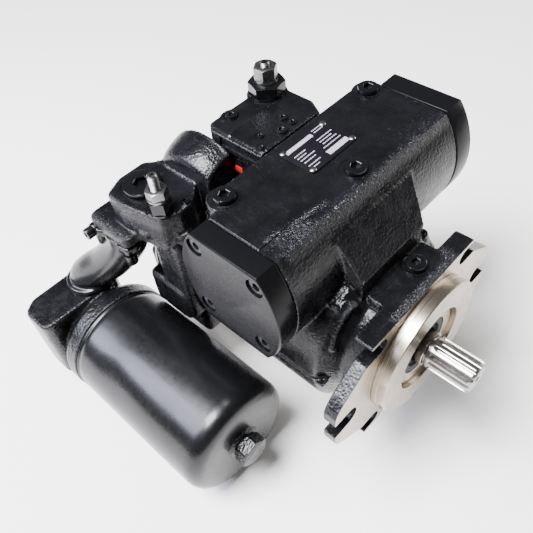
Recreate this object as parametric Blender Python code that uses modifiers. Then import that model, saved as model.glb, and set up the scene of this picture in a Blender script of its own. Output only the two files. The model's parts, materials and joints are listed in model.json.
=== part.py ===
"""Variable axial piston pump with a transverse servo cylinder and a side-mounted filter.

Frame: the drive shaft lies along Y and points to -Y, +Z is up, and the origin is the centre of
the mounting flange's front face. All sizes below are in millimetres; MM turns them into metres.
"""
import math

import bmesh
import bpy
from mathutils import Matrix, Vector

MM = 0.001
GAP = 0.3                       # clearance left between neighbouring pieces
CORNER = 1.5                    # usual edge rounding of castings

# Mounting flange, slotted for two large bolts and notched for four small ones.
FLANGE_THICK = 10.0
FLANGE_TOP = 54.0
FLANGE_SHOULDER = 54.4
EAR_END = 87.0
SLOT_R = 7.15
SLOT_CENTRE = 73.0
NOTCH_R = 5.8
NOTCH_CENTRE = 44.9
MOUTH_FLARE = 0.3               # slots and notches widen slightly towards their open ends
PILOT_R = 50.8
PILOT_HEIGHT = 9.9
RECESS_R = 31.5

# Housing barrel and the transverse servo cylinder above it.
BARREL_R = 66.0
WEB_OUTLINE = [(25.5, 38), (25.5, 63), (41, 90), (64, 90), (64, 38)]
NECK_R = 54.0
NECK_END = 22.0
BARREL_START = 34.0
CAVITY_R = 58.0
CAVITY_FRONT = 14.6
CAVITY_NECK_R = 46.0            # the cavity is narrower inside the neck
CAVITY_NECK_END = 28.5
HOUSING_REAR = 140.0
SERVO_Y = 79.0
SERVO_Z = 67.5
SERVO_HALF_Z = 38.1
SERVO_FLAT = 26.0
SERVO_BULGE = 39.5
SERVO_LEFT = -71.0
SERVO_RIGHT = 92.0
SERVO_BORE_R = 24.0
TOP_Z = SERVO_Z + SERVO_HALF_Z
TOP_REAR = 118.4
COVER_LEFT_END = -86.3
COVER_RIGHT_END = 109.5
COVER_SCREWS = [(55.5, 43.0), (102.5, 43.0), (55.5, 96.0), (102.5, 96.0)]
TOP_PLUGS = [(82.0, 108.0), (12.5, 65.0), (-53.0, 109.5)]
DRAIN_PLUG = (12.0, 16.3)

# Rear end: end cap, relief valve pad, charge pump.
CAP_FRONT = HOUSING_REAR + GAP
CAP_REAR = 196.0
SPIGOT_FRONT = 134.3
HUMP_AT = (160.0, 56.0)
HUMP_FRONT = 121.0
PAD_Z = 78.0
PAD_CORNERS = [(-82, 183), (-75, 150), (-66, 146), (-49, 146), (-38, 158), (-35, 198), (-42, 207),
               (-74, 204)]
LUG_TOP = 55.0
LUG_BOTTOM = 46.0
LARGE_PLUG = (-61.0, 186.0)
RELIEF_VALVE = (-68.0, 157.5)
PORTS = [("port_a", 33.0), ("port_b", -33.0)]
CHARGE_REAR = 230.0
CHARGE_R = 50.0

# Control block on top, behind the servo cylinder.
CONTROL_FRONT = 118.8
CONTROL_LEFT = -13.0
CONTROL_RIGHT = 52.0
CONTROL_REAR = 170.0
CONTROL_BOTTOM = 67.0
SPOOL_R = 5.0
SPOOL_AT = (148.0, 88.0)
CUTOFF_VALVE = (40.0, 162.0)

# Filter hanging beside the barrel, its axis parallel to the shaft.
FILTER_X = -110.5
FILTER_Z = -69.5
FILTER_R = 46.5
CAN_OPEN_END = 205.0
CAN_RIM = 73.7
CAN_BOTTOM = 66.0
HEAD_FRONT = CAN_OPEN_END + GAP
HEAD_REAR = 264.0
HEAD_TOP = -25.0
INLET_AT = (-124.0, -62.0)
INLET_FACE = 266.0
ELBOW_R = 15.0
ELBOW_FOOT = (-101.0, 243.0)
ELBOW_HEAD = (-78.0, 198.0)
ELBOW_SCREW_X = -89.0
ELBOW_SCREWS_Y = [181.5, 215.0]

# Rotating group. The swashplate tilts about a vertical axis through the shaft at PIVOT_Y.
SHAFT_END = -45.0
SPLINE_TEETH = 13
SPLINE_TIP_R = 11.8
SPLINE_ROOT_R = 9.8
PIVOT_Y = 48.0
SWASH_FACE = 41.0
SWASH_BACK = 30.0
SWASH_R = 44.0
CRADLE_R = 30.0
BLOCK_FRONT = 76.0
BLOCK_REAR = 131.0
BLOCK_R = 40.0
PISTONS = 9
PISTON_R = 6.5
PITCH_R = 29.0
PISTON_SETBACK = 14.0           # the balls stand this far behind the slipper sockets
BALL_R = 5.2
SOCKET_R = 5.9
PIN_Y = 74.0                    # drive pin between the swashplate arm and the servo piston
PIN_R = 5.0

# Charge pump gerotor: the inner rotor turns on the shaft, the ring turns eccentrically.
ROTOR_TEETH = 6
LOBE_PITCH_R = 20.0
LOBE_R = 6.5
ECCENTRICITY = 2.0
ROTOR_CLEARANCE = 0.15
ROTOR_CROWDING = 0.85           # draws the outline's points together in the tight hollows
ROTOR_FRONT = 202.3
ROTOR_REAR = 213.7

AXES = {
    "X": Matrix(((0, 0, 1), (1, 0, 0), (0, 1, 0))).to_4x4(),
    "Y": Matrix(((1, 0, 0), (0, 0, -1), (0, 1, 0))).to_4x4(),
    "Z": Matrix.Identity(4),
}

for old in list(bpy.data.objects):
    bpy.data.objects.remove(old, do_unlink=True)


def new_collection(name):
    group = bpy.data.collections.new(name)
    bpy.context.scene.collection.children.link(group)
    return group


PARTS = new_collection("axial_piston_pump")
CUTTERS = new_collection("cutters")


def material(name, colour, roughness, metallic):
    mat = bpy.data.materials.new(name)
    mat.use_nodes = True
    shader = mat.node_tree.nodes["Principled BSDF"]
    shader.inputs["Base Color"].default_value = (*colour, 1.0)
    shader.inputs["Roughness"].default_value = roughness
    shader.inputs["Metallic"].default_value = metallic
    return mat


PAINT = material("black_paint", (0.022, 0.022, 0.026), 0.32, 0.0)
STEEL = material("machined_steel", (0.62, 0.6, 0.57), 0.28, 1.0)
ZINC = material("zinc_plate", (0.78, 0.79, 0.8), 0.2, 1.0)
BRONZE = material("bearing_bronze", (0.6, 0.4, 0.2), 0.4, 1.0)
RUBBER = material("seal_rubber", (0.03, 0.03, 0.03), 0.7, 0.0)
PAPER = material("filter_paper", (0.75, 0.66, 0.45), 0.9, 0.0)
LABEL = material("label_face", (0.05, 0.04, 0.06), 0.35, 0.0)


def spot(axis, centre, along):
    """A point in millimetres from its two coordinates across an axis and one along it."""
    a, b = centre
    if axis == "X":
        return Vector((along, a, b))
    if axis == "Y":
        return Vector((a, along, b))
    return Vector((a, b, along))


def place(obj, axis, origin):
    obj.matrix_world = Matrix.Translation(Vector(origin) * MM) @ AXES[axis]


def show(name, mesh, mat=None):
    """Adds a visible part when it has a material, and a construction body otherwise."""
    obj = bpy.data.objects.new(name, mesh)
    group = PARTS if mat else CUTTERS
    group.objects.link(obj)
    if mat:
        mesh.materials.append(mat)
    else:
        obj.hide_render = True
        obj.display_type = "WIRE"
    return obj


def mesh_from(name, build):
    bm = bmesh.new()
    build(bm)
    mesh = bpy.data.meshes.new(name)
    bm.to_mesh(mesh)
    bm.free()
    return mesh


def cylinder(name, axis, centre, radius, start, end, mat=None, sides=40, end_radius=None):
    depth = (end - start) * MM
    first, last = radius, radius if end_radius is None else end_radius
    if axis == "Y":
        first, last = last, first

    def build(bm):
        bmesh.ops.create_cone(bm, cap_ends=True, segments=sides, radius1=first * MM,
                              radius2=last * MM, depth=depth)

    obj = show(name, mesh_from(name, build), mat)
    place(obj, axis, spot(axis, centre, (start + end) / 2))
    return obj


def ball(name, centre, radius, mat=None):
    def build(bm):
        bmesh.ops.create_uvsphere(bm, u_segments=8, v_segments=6, radius=radius * MM)

    obj = show(name, mesh_from(name, build), mat)
    place(obj, "Z", centre)
    return obj


def box(name, low, high, mat=None, rounding=0.0):
    low, high = Vector(low), Vector(high)

    def build(bm):
        bmesh.ops.create_cube(bm, size=1.0)
        bmesh.ops.scale(bm, vec=(high - low) * MM, verts=bm.verts)

    obj = show(name, mesh_from(name, build), mat)
    place(obj, "Z", (low + high) / 2)
    if rounding:
        bevel = obj.modifiers.new("rounding", "BEVEL")
        bevel.width = rounding * MM
        bevel.segments = 1
    return obj


def turned(name, axis, centre, profile, mat=None, steps=48, ring=False):
    """Revolves (radius, position) points, whose outer side runs with rising position."""
    points = profile if axis == "Y" else profile[::-1]
    sign = -1 if axis == "Y" else 1
    verts = [(r * MM, 0.0, sign * t * MM) for r, t in points]
    edges = [(i, i + 1) for i in range(len(verts) - 1)]
    if ring:
        edges.append((len(verts) - 1, 0))
    mesh = bpy.data.meshes.new(name)
    mesh.from_pydata(verts, edges, [])
    obj = show(name, mesh, mat)
    place(obj, axis, spot(axis, centre, 0.0))
    screw = obj.modifiers.new("turn", "SCREW")
    screw.steps = steps
    screw.render_steps = steps
    screw.use_merge_vertices = True
    screw.merge_threshold = 0.00001
    return obj


def sleeve(name, axis, centre, inner, outer, start, end, mat=None, steps=24):
    profile = [(outer, start), (outer, end), (inner, end), (inner, start)]
    return turned(name, axis, centre, profile, mat, steps, ring=True)


def plate(name, axis, outline, start, end, mat=None):
    """Extrudes a flat outline, given in the two coordinates across the axis."""
    curve = bpy.data.curves.new(name, "CURVE")
    curve.dimensions = "2D"
    curve.fill_mode = "BOTH"
    curve.extrude = (end - start) / 2 * MM
    line = curve.splines.new("POLY")
    line.points.add(len(outline) - 1)
    for point, (a, b) in zip(line.points, outline):
        point.co = (a * MM, b * MM, 0.0, 1.0)
    line.use_cyclic_u = True
    guide = bpy.data.objects.new(name + "_outline", curve)
    CUTTERS.objects.link(guide)
    mesh = bpy.data.meshes.new_from_object(guide.evaluated_get(bpy.context.evaluated_depsgraph_get()))
    bpy.data.objects.remove(guide, do_unlink=True)
    bm = bmesh.new()
    bm.from_mesh(mesh)
    bmesh.ops.remove_doubles(bm, verts=bm.verts, dist=0.000001)
    bmesh.ops.recalc_face_normals(bm, faces=bm.faces)
    bm.to_mesh(mesh)
    bm.free()
    mesh.materials.clear()
    obj = show(name, mesh, mat)
    place(obj, axis, spot(axis, (0.0, 0.0), (start + end) / 2))
    return obj


def tube(name, route, radius, mat=None, resolution=4):
    """A round bar along points, welded closed so that it can be joined or cut."""
    curve = bpy.data.curves.new(name, "CURVE")
    curve.dimensions = "3D"
    curve.bevel_depth = radius * MM
    curve.bevel_resolution = resolution
    curve.use_fill_caps = True
    line = curve.splines.new("POLY")
    line.points.add(len(route) - 1)
    for point, place_at in zip(line.points, route):
        point.co = (*(Vector(place_at) * MM), 1.0)
    guide = bpy.data.objects.new(name + "_route", curve)
    CUTTERS.objects.link(guide)
    mesh = bpy.data.meshes.new_from_object(guide.evaluated_get(bpy.context.evaluated_depsgraph_get()))
    bpy.data.objects.remove(guide, do_unlink=True)
    bm = bmesh.new()
    bm.from_mesh(mesh)
    bmesh.ops.remove_doubles(bm, verts=bm.verts, dist=0.000001)
    bmesh.ops.recalc_face_normals(bm, faces=bm.faces)
    bm.to_mesh(mesh)
    bm.free()
    mesh.materials.clear()
    return show(name, mesh, mat)


def combine(target, operation, tools):
    for tool in tools:
        step = target.modifiers.new(tool.name, "BOOLEAN")
        step.operation = operation
        step.object = tool
        step.solver = "EXACT"


def join(target, *tools):
    combine(target, "UNION", tools)


def cut(target, *tools):
    combine(target, "DIFFERENCE", tools)


def arc(centre, radius, start, end, count):
    """Points on an arc, angles in degrees from the first axis."""
    a, b = centre
    angles = [math.radians(start + (end - start) * i / count) for i in range(count + 1)]
    return [(a + radius * math.cos(t), b + radius * math.sin(t)) for t in angles]


def curve_between(points, count):
    """Points on a smooth curve (Catmull-Rom) through hand-placed ones."""
    path = [Vector(p) for p in points]
    path = [path[0] * 2 - path[1]] + path + [path[-1] * 2 - path[-2]]
    out = []
    for i in range(1, len(path) - 2):
        p0, p1, p2, p3 = path[i - 1:i + 3]
        for step in range(count):
            t = step / count
            out.append(0.5 * (2 * p1 + (p2 - p0) * t + (2 * p0 - 5 * p1 + 4 * p2 - p3) * t * t
                              + (3 * p1 - p0 - 3 * p2 + p3) * t ** 3))
    out.append(path[-2])
    return out


def rounded(corners, radius, count=4):
    """Rounds the corners of an outline with arcs of a fixed radius."""
    out = []
    total = len(corners)
    for i in range(total):
        here = Vector(corners[i])
        back = (Vector(corners[i - 1]) - here).normalized()
        ahead = (Vector(corners[(i + 1) % total]) - here).normalized()
        half = math.acos(max(-1.0, min(1.0, back.dot(ahead)))) / 2
        reach = radius / math.tan(half)
        first, last = here + back * reach, here + ahead * reach
        for step in range(count + 1):
            t = step / count
            out.append((1 - t) ** 2 * first + 2 * t * (1 - t) * here + t * t * last)
    return [(p.x, p.y) for p in out]


def flange_outline():
    """Front view of the flange, as X and Z, from one quarter mirrored twice."""
    notch = arc((NOTCH_CENTRE, NOTCH_CENTRE), NOTCH_R, 90, 270, 6)
    slot = arc((SLOT_CENTRE, 0.0), SLOT_R, 90, 172, 5)
    notch_top = NOTCH_CENTRE + NOTCH_R + MOUTH_FLARE
    notch_low = NOTCH_CENTRE - NOTCH_R - MOUTH_FLARE
    quarter = [(FLANGE_SHOULDER, FLANGE_TOP), (FLANGE_SHOULDER, notch_top)]
    quarter += notch + [(58.5, notch_low), (80.0, 24.5), (85.0, 20.0), (EAR_END, 15.0)]
    quarter += [(EAR_END, SLOT_R + MOUTH_FLARE)] + slot
    lower = [(x, -z) for x, z in quarter[::-1]]
    right = quarter + lower
    return right + [(-x, z) for x, z in right[::-1]]


def servo_outline(inset=0.0):
    """Cross-section of the servo cylinder, as Y and Z: flat top and bottom, arched sides."""
    sag = SERVO_BULGE - SERVO_FLAT
    radius = (SERVO_HALF_Z ** 2 + sag ** 2) / (2 * sag)
    reach = math.degrees(math.asin(SERVO_HALF_Z / radius))
    bulge = SERVO_BULGE - inset
    front = arc((SERVO_Y - bulge + radius, SERVO_Z), radius, 180 - reach, 180 + reach, 8)
    rear = arc((SERVO_Y + bulge - radius, SERVO_Z), radius, -reach, reach, 8)
    return front + rear


def hex_prism(name, axis, centre, across_flats, start, end, mat=None):
    obj = cylinder(name, axis, centre, across_flats / math.sqrt(3), start, end, mat, sides=6)
    return obj


def ring_centres():
    """Centres of the pistons around the shaft, as angle, X and Z."""
    turns = [2 * math.pi * i / PISTONS for i in range(PISTONS)]
    return [(PITCH_R * math.cos(t), PITCH_R * math.sin(t)) for t in turns]


def build_housing():
    body = plate("main_housing", "Y", flange_outline(), 0.0, FLANGE_THICK, PAINT)
    blocks = [
        cylinder("pilot", "Y", (0, 0), PILOT_R, -PILOT_HEIGHT, 5.0, sides=48),
        box("flange_top", (-53.6, 3, 51.4), (53.6, 13.6, 53.6)),
        box("flange_bottom", (-53.6, 3, -53.6), (53.6, 13.6, -51.4)),
        turned("barrel", "Y", (0, 0), [(0, 4), (NECK_R, 4), (NECK_R, NECK_END),
                                      (BARREL_R, BARREL_START), (BARREL_R, HOUSING_REAR),
                                      (0, HOUSING_REAR)], steps=48),
        box("drain_boss", (-27, 4, 30), (33, 27, FLANGE_TOP + 0.3), rounding=CORNER),
        plate("arm_web", "X", WEB_OUTLINE, -30, 32),
        plate("servo_case", "X", servo_outline(), SERVO_LEFT, SERVO_RIGHT),
        box("top_ledge", (-63, 95, 82), (88, TOP_REAR, TOP_Z), rounding=CORNER),
        box("control_seat", (-13, 112, 40), (50, 138, CONTROL_BOTTOM - GAP), rounding=CORNER),
    ]
    join(body, *blocks)
    hollows = [
        turned("cavity", "Y", (0, 0), [(0, -12), (RECESS_R, -12), (RECESS_R, -2), (22, -2),
                                      (22, CAVITY_FRONT), (CAVITY_NECK_R, CAVITY_FRONT),
                                      (CAVITY_NECK_R, CAVITY_NECK_END),
                                      (CAVITY_R, CAVITY_NECK_END + 3), (CAVITY_R, 142), (0, 142)],
               steps=44),
        cylinder("servo_bore", "X", (SERVO_Y, SERVO_Z), SERVO_BORE_R, SERVO_LEFT - 2,
                 SERVO_RIGHT + 2),
        box("arm_pocket", (-17, 29, 36), (17, 62, 66.5)),
    ]
    for number, (y, z) in enumerate(COVER_SCREWS):
        for side, inner, outer in (("l", SERVO_LEFT + 14, SERVO_LEFT - 2),
                                   ("r", SERVO_RIGHT - 14, SERVO_RIGHT + 2)):
            low, high = sorted((inner, outer))
            hollows.append(cylinder(f"screw_hole_{side}{number}", "X", (y, z), 3.6, low, high,
                                    sides=10))
    for number, (x, y) in enumerate(TOP_PLUGS):
        hollows.append(cylinder(f"plug_hole_{number}", "Z", (x, y), 6.3, TOP_Z - 5.7, TOP_Z + 2,
                                sides=16))
    hollows.append(cylinder("drain_hole", "Z", DRAIN_PLUG, 5.4, 43, 56, sides=16))
    cut(body, *hollows)


def build_cover(side, start, end):
    name = f"servo_cover_{side}"
    obj = plate(name, "X", servo_outline(), start, end, PAINT)
    outer = start if side == "left" else end
    inward = 1 if side == "left" else -1
    tools = []
    for number, (y, z) in enumerate(COVER_SCREWS):
        low, high = sorted((outer - inward, outer + inward * 7.5))
        tools.append(cylinder(f"{name}_sink_{number}", "X", (y, z), 6.2, low, high, sides=14))
        tools.append(cylinder(f"{name}_hole_{number}", "X", (y, z), 3.6, start - 1, end + 1,
                              sides=10))
    cut(obj, *tools)


def build_cover_screws(side, outer, inward):
    """Hex socket cap screws, sunk in the cover and reaching into the housing."""
    for number, (y, z) in enumerate(COVER_SCREWS, start=1):
        head_out = outer + inward * 0.8
        head_in = outer + inward * 7.0
        tip = outer + inward * 25.0
        if inward > 0:
            profile = [(0, head_out), (5.6, head_out), (5.6, head_in), (3.2, head_in), (3.2, tip),
                       (0, tip)]
        else:
            profile = [(0, tip), (3.2, tip), (3.2, head_in), (5.6, head_in), (5.6, head_out),
                       (0, head_out)]
        obj = turned(f"cover_screw_{side}_{number}", "X", (y, z), profile, STEEL, steps=12)
        low, high = sorted((head_out - inward, head_out + inward * 3.5))
        cut(obj, hex_prism(f"cover_key_{side}_{number}", "X", (y, z), 5.0, low, high))


def build_plug(name, centre, surface, disc_r, shank_r, rise, depth, key):
    """A sealing plug with a hex socket, seated on a flat surface."""
    profile = [(0, surface - depth), (shank_r, surface - depth), (shank_r, surface + GAP),
               (disc_r, surface + GAP), (disc_r, surface + rise - 0.6),
               (disc_r - 0.6, surface + rise), (0, surface + rise)]
    obj = turned(name, "Z", centre, profile, PAINT, steps=16)
    cut(obj, hex_prism(name + "_key", "Z", centre, key, surface + rise - 4.5, surface + rise + 1))


def build_end_cap():
    body = turned("end_cap", "Y", (0, 0), [(0, CAP_FRONT), (BARREL_R + 1, CAP_FRONT),
                                          (BARREL_R + 1, CAP_REAR - 6), (60, CAP_REAR),
                                          (0, CAP_REAR)], PAINT, steps=48)
    lug = [(-93, 179), (-89, 175), (-50, 175), (-50, 200), (-62, 220), (-88, 220), (-93, 216)]
    join(
        body,
        turned("hump", "X", HUMP_AT, [(0, -37), (30, -37), (40, -32), (44, -26), (47.5, -18),
                                      (48.5, CONTROL_LEFT - 0.5), (0, CONTROL_LEFT - 0.5)],
               steps=40),
        box("pad_leg", (-74, 146, -30), (-40, 175.5, 50), rounding=4.0),
        box("flank", (-64, 146.5, -60), (-41, 203, 10), rounding=4.0),
        plate("pad", "Z", rounded(PAD_CORNERS, 6.0), LUG_BOTTOM, PAD_Z),
        box("pad_root", (-62, 150, -10), (-38, 195, 50), rounding=4.0),
        plate("lug", "Z", rounded(lug, 2.5, 2), LUG_BOTTOM, LUG_TOP),
        box("port_block", (30, 151, -66), (76, 191, 66), rounding=CORNER),
    )
    cut(
        body,
        cylinder("barrel_clearance", "Y", (0, 0), BARREL_R + GAP, 110, CAP_FRONT, sides=48),
        cylinder("charge_clearance", "Y", (0, 0), CHARGE_R + 1, CAP_REAR, 220, sides=48),
        box("servo_clearance", (-45, 80, -20), (-10, HUMP_FRONT, 120)),
    )
    join(body, cylinder("spigot", "Y", (0, 0), CAVITY_R - GAP, SPIGOT_FRONT, CAP_FRONT + 3,
                        sides=48))
    tools = [
        cylinder("rear_bearing_seat", "Y", (0, 0), 19.0, SPIGOT_FRONT - 1, 150.3),
        cylinder("shaft_passage", "Y", (0, 0), 11.0, 150, CAP_REAR + 1, sides=32),
        cylinder("large_plug_hole", "Z", LARGE_PLUG, 11.3, PAD_Z - 14, PAD_Z + 1, sides=32),
        cylinder("relief_hole", "Z", RELIEF_VALVE, 5.8, PAD_Z - 24, PAD_Z + 1, sides=24),
    ]
    for name, z in PORTS:
        tools.append(cylinder(name + "_bore", "X", (171, z), 9.5, 48, 78, sides=32))
    for number, y in enumerate(ELBOW_SCREWS_Y):
        tools.append(cylinder(f"lug_hole_{number}", "Z", (ELBOW_SCREW_X, y), 2.9, LUG_BOTTOM - 1,
                              LUG_TOP - 2, sides=12))
    cut(body, *tools)


def build_valve_stack(prefix, centre, base, cartridge, nut, stud, bore_r):
    """Cartridge with a hex, a lock nut on it and the adjusting screw through both."""
    hex_flats, hex_top = cartridge
    nut_flats, nut_top = nut
    stud_r, stud_top = stud
    body = hex_prism(prefix + "_cartridge", "Z", centre, hex_flats, base + GAP, hex_top, PAINT)
    shank = cylinder(prefix + "_shank", "Z", centre, bore_r - GAP, base - 22, base + 2, sides=24)
    join(body, shank)
    cut(body, cylinder(prefix + "_bore", "Z", centre, stud_r + GAP, base - 18, hex_top + 1,
                       sides=16))
    ring = hex_prism(prefix + "_lock_nut", "Z", centre, nut_flats, hex_top + GAP, nut_top, ZINC)
    cut(ring, cylinder(prefix + "_nut_bore", "Z", centre, stud_r + GAP, hex_top - 1, nut_top + 1,
                       sides=16))
    profile = [(0, base - 17), (stud_r, base - 17), (stud_r, stud_top - 0.8),
               (stud_r - 0.8, stud_top), (0, stud_top)]
    screw = turned(prefix + "_adjusting_screw", "Z", centre, profile, ZINC, steps=16)
    cut(screw, hex_prism(prefix + "_key", "Z", centre, stud_r, stud_top - 3.5, stud_top + 1))


def build_control():
    corners = [(CONTROL_LEFT, CONTROL_FRONT), (45, CONTROL_FRONT), (CONTROL_RIGHT, 131),
               (CONTROL_RIGHT, 166), (48, CONTROL_REAR), (-8, CONTROL_REAR), (CONTROL_LEFT, 164)]
    body = plate("control_housing", "Z", rounded(corners, 2.0, 2), CONTROL_BOTTOM, TOP_Z, PAINT)
    y, z = SPOOL_AT
    cut(
        body,
        cylinder("spool_bore", "X", (y, z), SPOOL_R + GAP, CONTROL_LEFT + 6, CONTROL_RIGHT + 1,
                 sides=24),
        cylinder("cutoff_hole", "Z", CUTOFF_VALVE, 7.8, TOP_Z - 24, TOP_Z + 1, sides=24),
    )
    spool = [(0, -1), (SPOOL_R, -1), (SPOOL_R, 9), (3, 11), (3, 18), (SPOOL_R, 20), (SPOOL_R, 32),
             (0, 32)]
    turned("control_spool", "X", SPOOL_AT, spool, STEEL, steps=20)
    turned("control_end_plug", "X", SPOOL_AT,
           [(0, 40), (SPOOL_R, 40), (SPOOL_R, CONTROL_RIGHT + GAP), (8, CONTROL_RIGHT + GAP),
            (8, CONTROL_RIGHT + 4), (0, CONTROL_RIGHT + 4)], PAINT, steps=24)


def build_nameplate():
    outline = rounded([(-6.5, 81.5), (36.5, 81.5), (36.5, 110.5), (-6.5, 110.5)], 1.5, 3)
    plate("nameplate", "Z", outline, TOP_Z + GAP, TOP_Z + GAP + 0.7, LABEL)


def build_filter():
    axis_at = (FILTER_X, FILTER_Z)
    wall = 1.5
    shell = [(0, CAN_BOTTOM), (38, CAN_BOTTOM), (43.5, CAN_BOTTOM + 1.6), (FILTER_R, CAN_RIM),
             (FILTER_R, CAN_OPEN_END), (FILTER_R - wall, CAN_OPEN_END),
             (FILTER_R - wall, CAN_RIM + 1), (38, CAN_BOTTOM + wall + 1), (0, CAN_BOTTOM + wall + 1)]
    can = turned("filter_can", "Y", axis_at, shell, PAINT, steps=48)
    join(can, hex_prism("can_hex", "Y", axis_at, 22.0, CAN_BOTTOM - 13, CAN_BOTTOM + 1.5))
    sleeve("filter_element", "Y", axis_at, 18.0, 38.0, CAN_BOTTOM + 8, CAN_OPEN_END - 6, PAPER)
    head = turned("filter_head", "Y", axis_at, [(0, HEAD_FRONT), (FILTER_R + 1, HEAD_FRONT),
                                                (FILTER_R + 1, 216), (40, 226), (0, 230)], PAINT,
                  steps=48)
    block = rounded([(-158, 226), (-88, 226), (-82, 236), (-82, HEAD_REAR), (-148, HEAD_REAR),
                     (-158, 256)], 7.0)
    join(head, plate("head_block", "Z", block, -92, HEAD_TOP),
         cylinder("inlet_boss", "Y", INLET_AT, 21.0, 250, INLET_FACE, sides=32))
    cut(head, cylinder("inlet_bore", "Y", INLET_AT, 13.0, 240, INLET_FACE + 1, sides=32),
        cylinder("head_outlet", "Z", ELBOW_FOOT, 10.0, -45, HEAD_TOP + 1, sides=24))


def build_elbow():
    (foot_x, foot_y), (head_x, head_y) = ELBOW_FOOT, ELBOW_HEAD
    bends = [(head_x, head_y, 41), (head_x, head_y, 28), (head_x - 5, head_y + 12, 11),
             (foot_x + 4, foot_y - 10, -7), (foot_x, foot_y, -18), (foot_x, foot_y, HEAD_TOP)]
    body = tube("suction_elbow", curve_between(bends, 4), ELBOW_R, PAINT)
    collar = [(-94, 176), (-62, 176), (-62, 220), (-94, 220)]
    join(body, plate("elbow_flange", "Z", rounded(collar, 5.0), 36, LUG_BOTTOM - GAP),
         cylinder("elbow_foot", "Z", ELBOW_FOOT, 19.5, HEAD_TOP + GAP, -18, end_radius=16.5,
                  sides=32))
    cut(body, box("elbow_base_trim", (-130, 210, -60), (-70, 280, HEAD_TOP + GAP)),
        tube("elbow_passage", curve_between([(head_x, head_y, 50)] + bends[1:-1]
                   + [(foot_x, foot_y, HEAD_TOP - 4)], 3), 10.0, resolution=2))
    for number, y in enumerate(ELBOW_SCREWS_Y, start=1):
        at = (ELBOW_SCREW_X, y)
        cut(body, cylinder(f"elbow_hole_{number}", "Z", at, 2.9, 30, 47, sides=12))
        profile = [(0, 29), (4.2, 29), (4.2, 35.7), (2.6, 35.7), (2.6, 51), (0, 51)]
        screw = turned(f"elbow_screw_{number}", "Z", at, profile, PAINT, steps=16)
        cut(screw, hex_prism(f"elbow_key_{number}", "Z", at, 4.0, 28, 32))


def spline_outline():
    """Tooth outline of the shaft's drive end."""
    out = []
    pitch = 2 * math.pi / SPLINE_TEETH
    shape = [(-0.27, SPLINE_ROOT_R), (-0.14, SPLINE_TIP_R), (0.14, SPLINE_TIP_R),
             (0.27, SPLINE_ROOT_R)]
    for tooth in range(SPLINE_TEETH):
        for share, radius in shape:
            angle = (tooth + share) * pitch
            out.append((radius * math.cos(angle), radius * math.sin(angle)))
    return out


def build_shaft():
    steps = [(0, -14.5), (9.4, -14.5), (9.4, -11), (12.5, -9.5), (12.5, 14), (12.0, 16),
             (12.0, 133), (10.0, 133), (10.0, 152), (8.0, 152), (8.0, ROTOR_FRONT - 1),
             (7.0, ROTOR_FRONT - 1), (7.0, 224), (0, 224)]
    shaft = plate("drive_shaft", "Y", spline_outline(), SHAFT_END, -14, STEEL)
    join(shaft, turned("shaft_body", "Y", (0, 0), steps, steps=24))


def build_front_end():
    sleeve("front_bearing", "Y", (0, 0), 12.9, 21.6, 0.0, 13.5, STEEL)
    sleeve("shaft_seal", "Y", (0, 0), 12.9, 21.6, -5.5, -0.5, RUBBER)
    sleeve("seal_carrier", "Y", (0, 0), 22.0, 31.0, -6.0, -2.3, STEEL)
    sleeve("rear_bearing", "Y", (0, 0), 10.4, 18.6, 136.0, 150.0, STEEL)


def build_block():
    block = sleeve("cylinder_block", "Y", (0, 0), 12.3, BLOCK_R, BLOCK_FRONT, BLOCK_REAR, STEEL)
    for number, (x, z) in enumerate(ring_centres(), start=1):
        bore = cylinder(f"piston_bore_{number}", "Y", (x, z), PISTON_R + GAP, BLOCK_FRONT - 1, 124,
                        sides=12)
        port = cylinder(f"kidney_{number}", "Y", (x, z), 3.5, 123, BLOCK_REAR + 1, sides=8)
        cut(block, bore, port)
    centre = PIVOT_Y + PISTON_SETBACK
    for number, (x, z) in enumerate(ring_centres(), start=1):
        neck = 3.6
        half = math.acos(neck / BALL_R)
        cap = [(BALL_R * math.sin(t), centre - BALL_R * math.cos(t))
               for t in (0.0, math.pi / 6, math.pi / 3, math.pi / 2, math.pi - half * 0.95)]
        rest = [(neck, centre + 7), (PISTON_R, centre + 9), (PISTON_R, 118), (0, 118)]
        turned(f"piston_{number}", "Y", (x, z), cap + rest, STEEL, steps=10)
    sleeve("hold_down_sleeve", "Y", (0, 0), 12.3, 17.5, 60.0, BLOCK_FRONT - GAP, STEEL, steps=32)
    plate_ring = sleeve("valve_plate", "Y", (0, 0), 20.0, 39.0, BLOCK_REAR + GAP,
                        SPIGOT_FRONT - GAP, BRONZE)
    for number, angle in enumerate((0, 72, 144, 216, 288)):
        x = PITCH_R * math.cos(math.radians(angle + 36))
        z = PITCH_R * math.sin(math.radians(angle + 36))
        cut(plate_ring, cylinder(f"valve_port_{number}", "Y", (x, z), 4.5, 130, 136, sides=12))


def build_slippers():
    """Nine slippers and the plate that holds them down, which tilt and turn together."""
    body = sleeve("slipper_ring", "Y", (0, 0), 15.5, 38.5, SWASH_FACE + GAP + 2.5,
                  SWASH_FACE + GAP + 5, BRONZE)
    for number, (x, z) in enumerate(ring_centres(), start=1):
        join(body, cylinder(f"slipper_foot_{number}", "Y", (x, z), 8.6, SWASH_FACE + GAP, PIVOT_Y,
                            sides=12))
    for number, (x, z) in enumerate(ring_centres(), start=1):
        cut(body, ball(f"slipper_socket_{number}", (x, PIVOT_Y, z), SOCKET_R))


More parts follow.
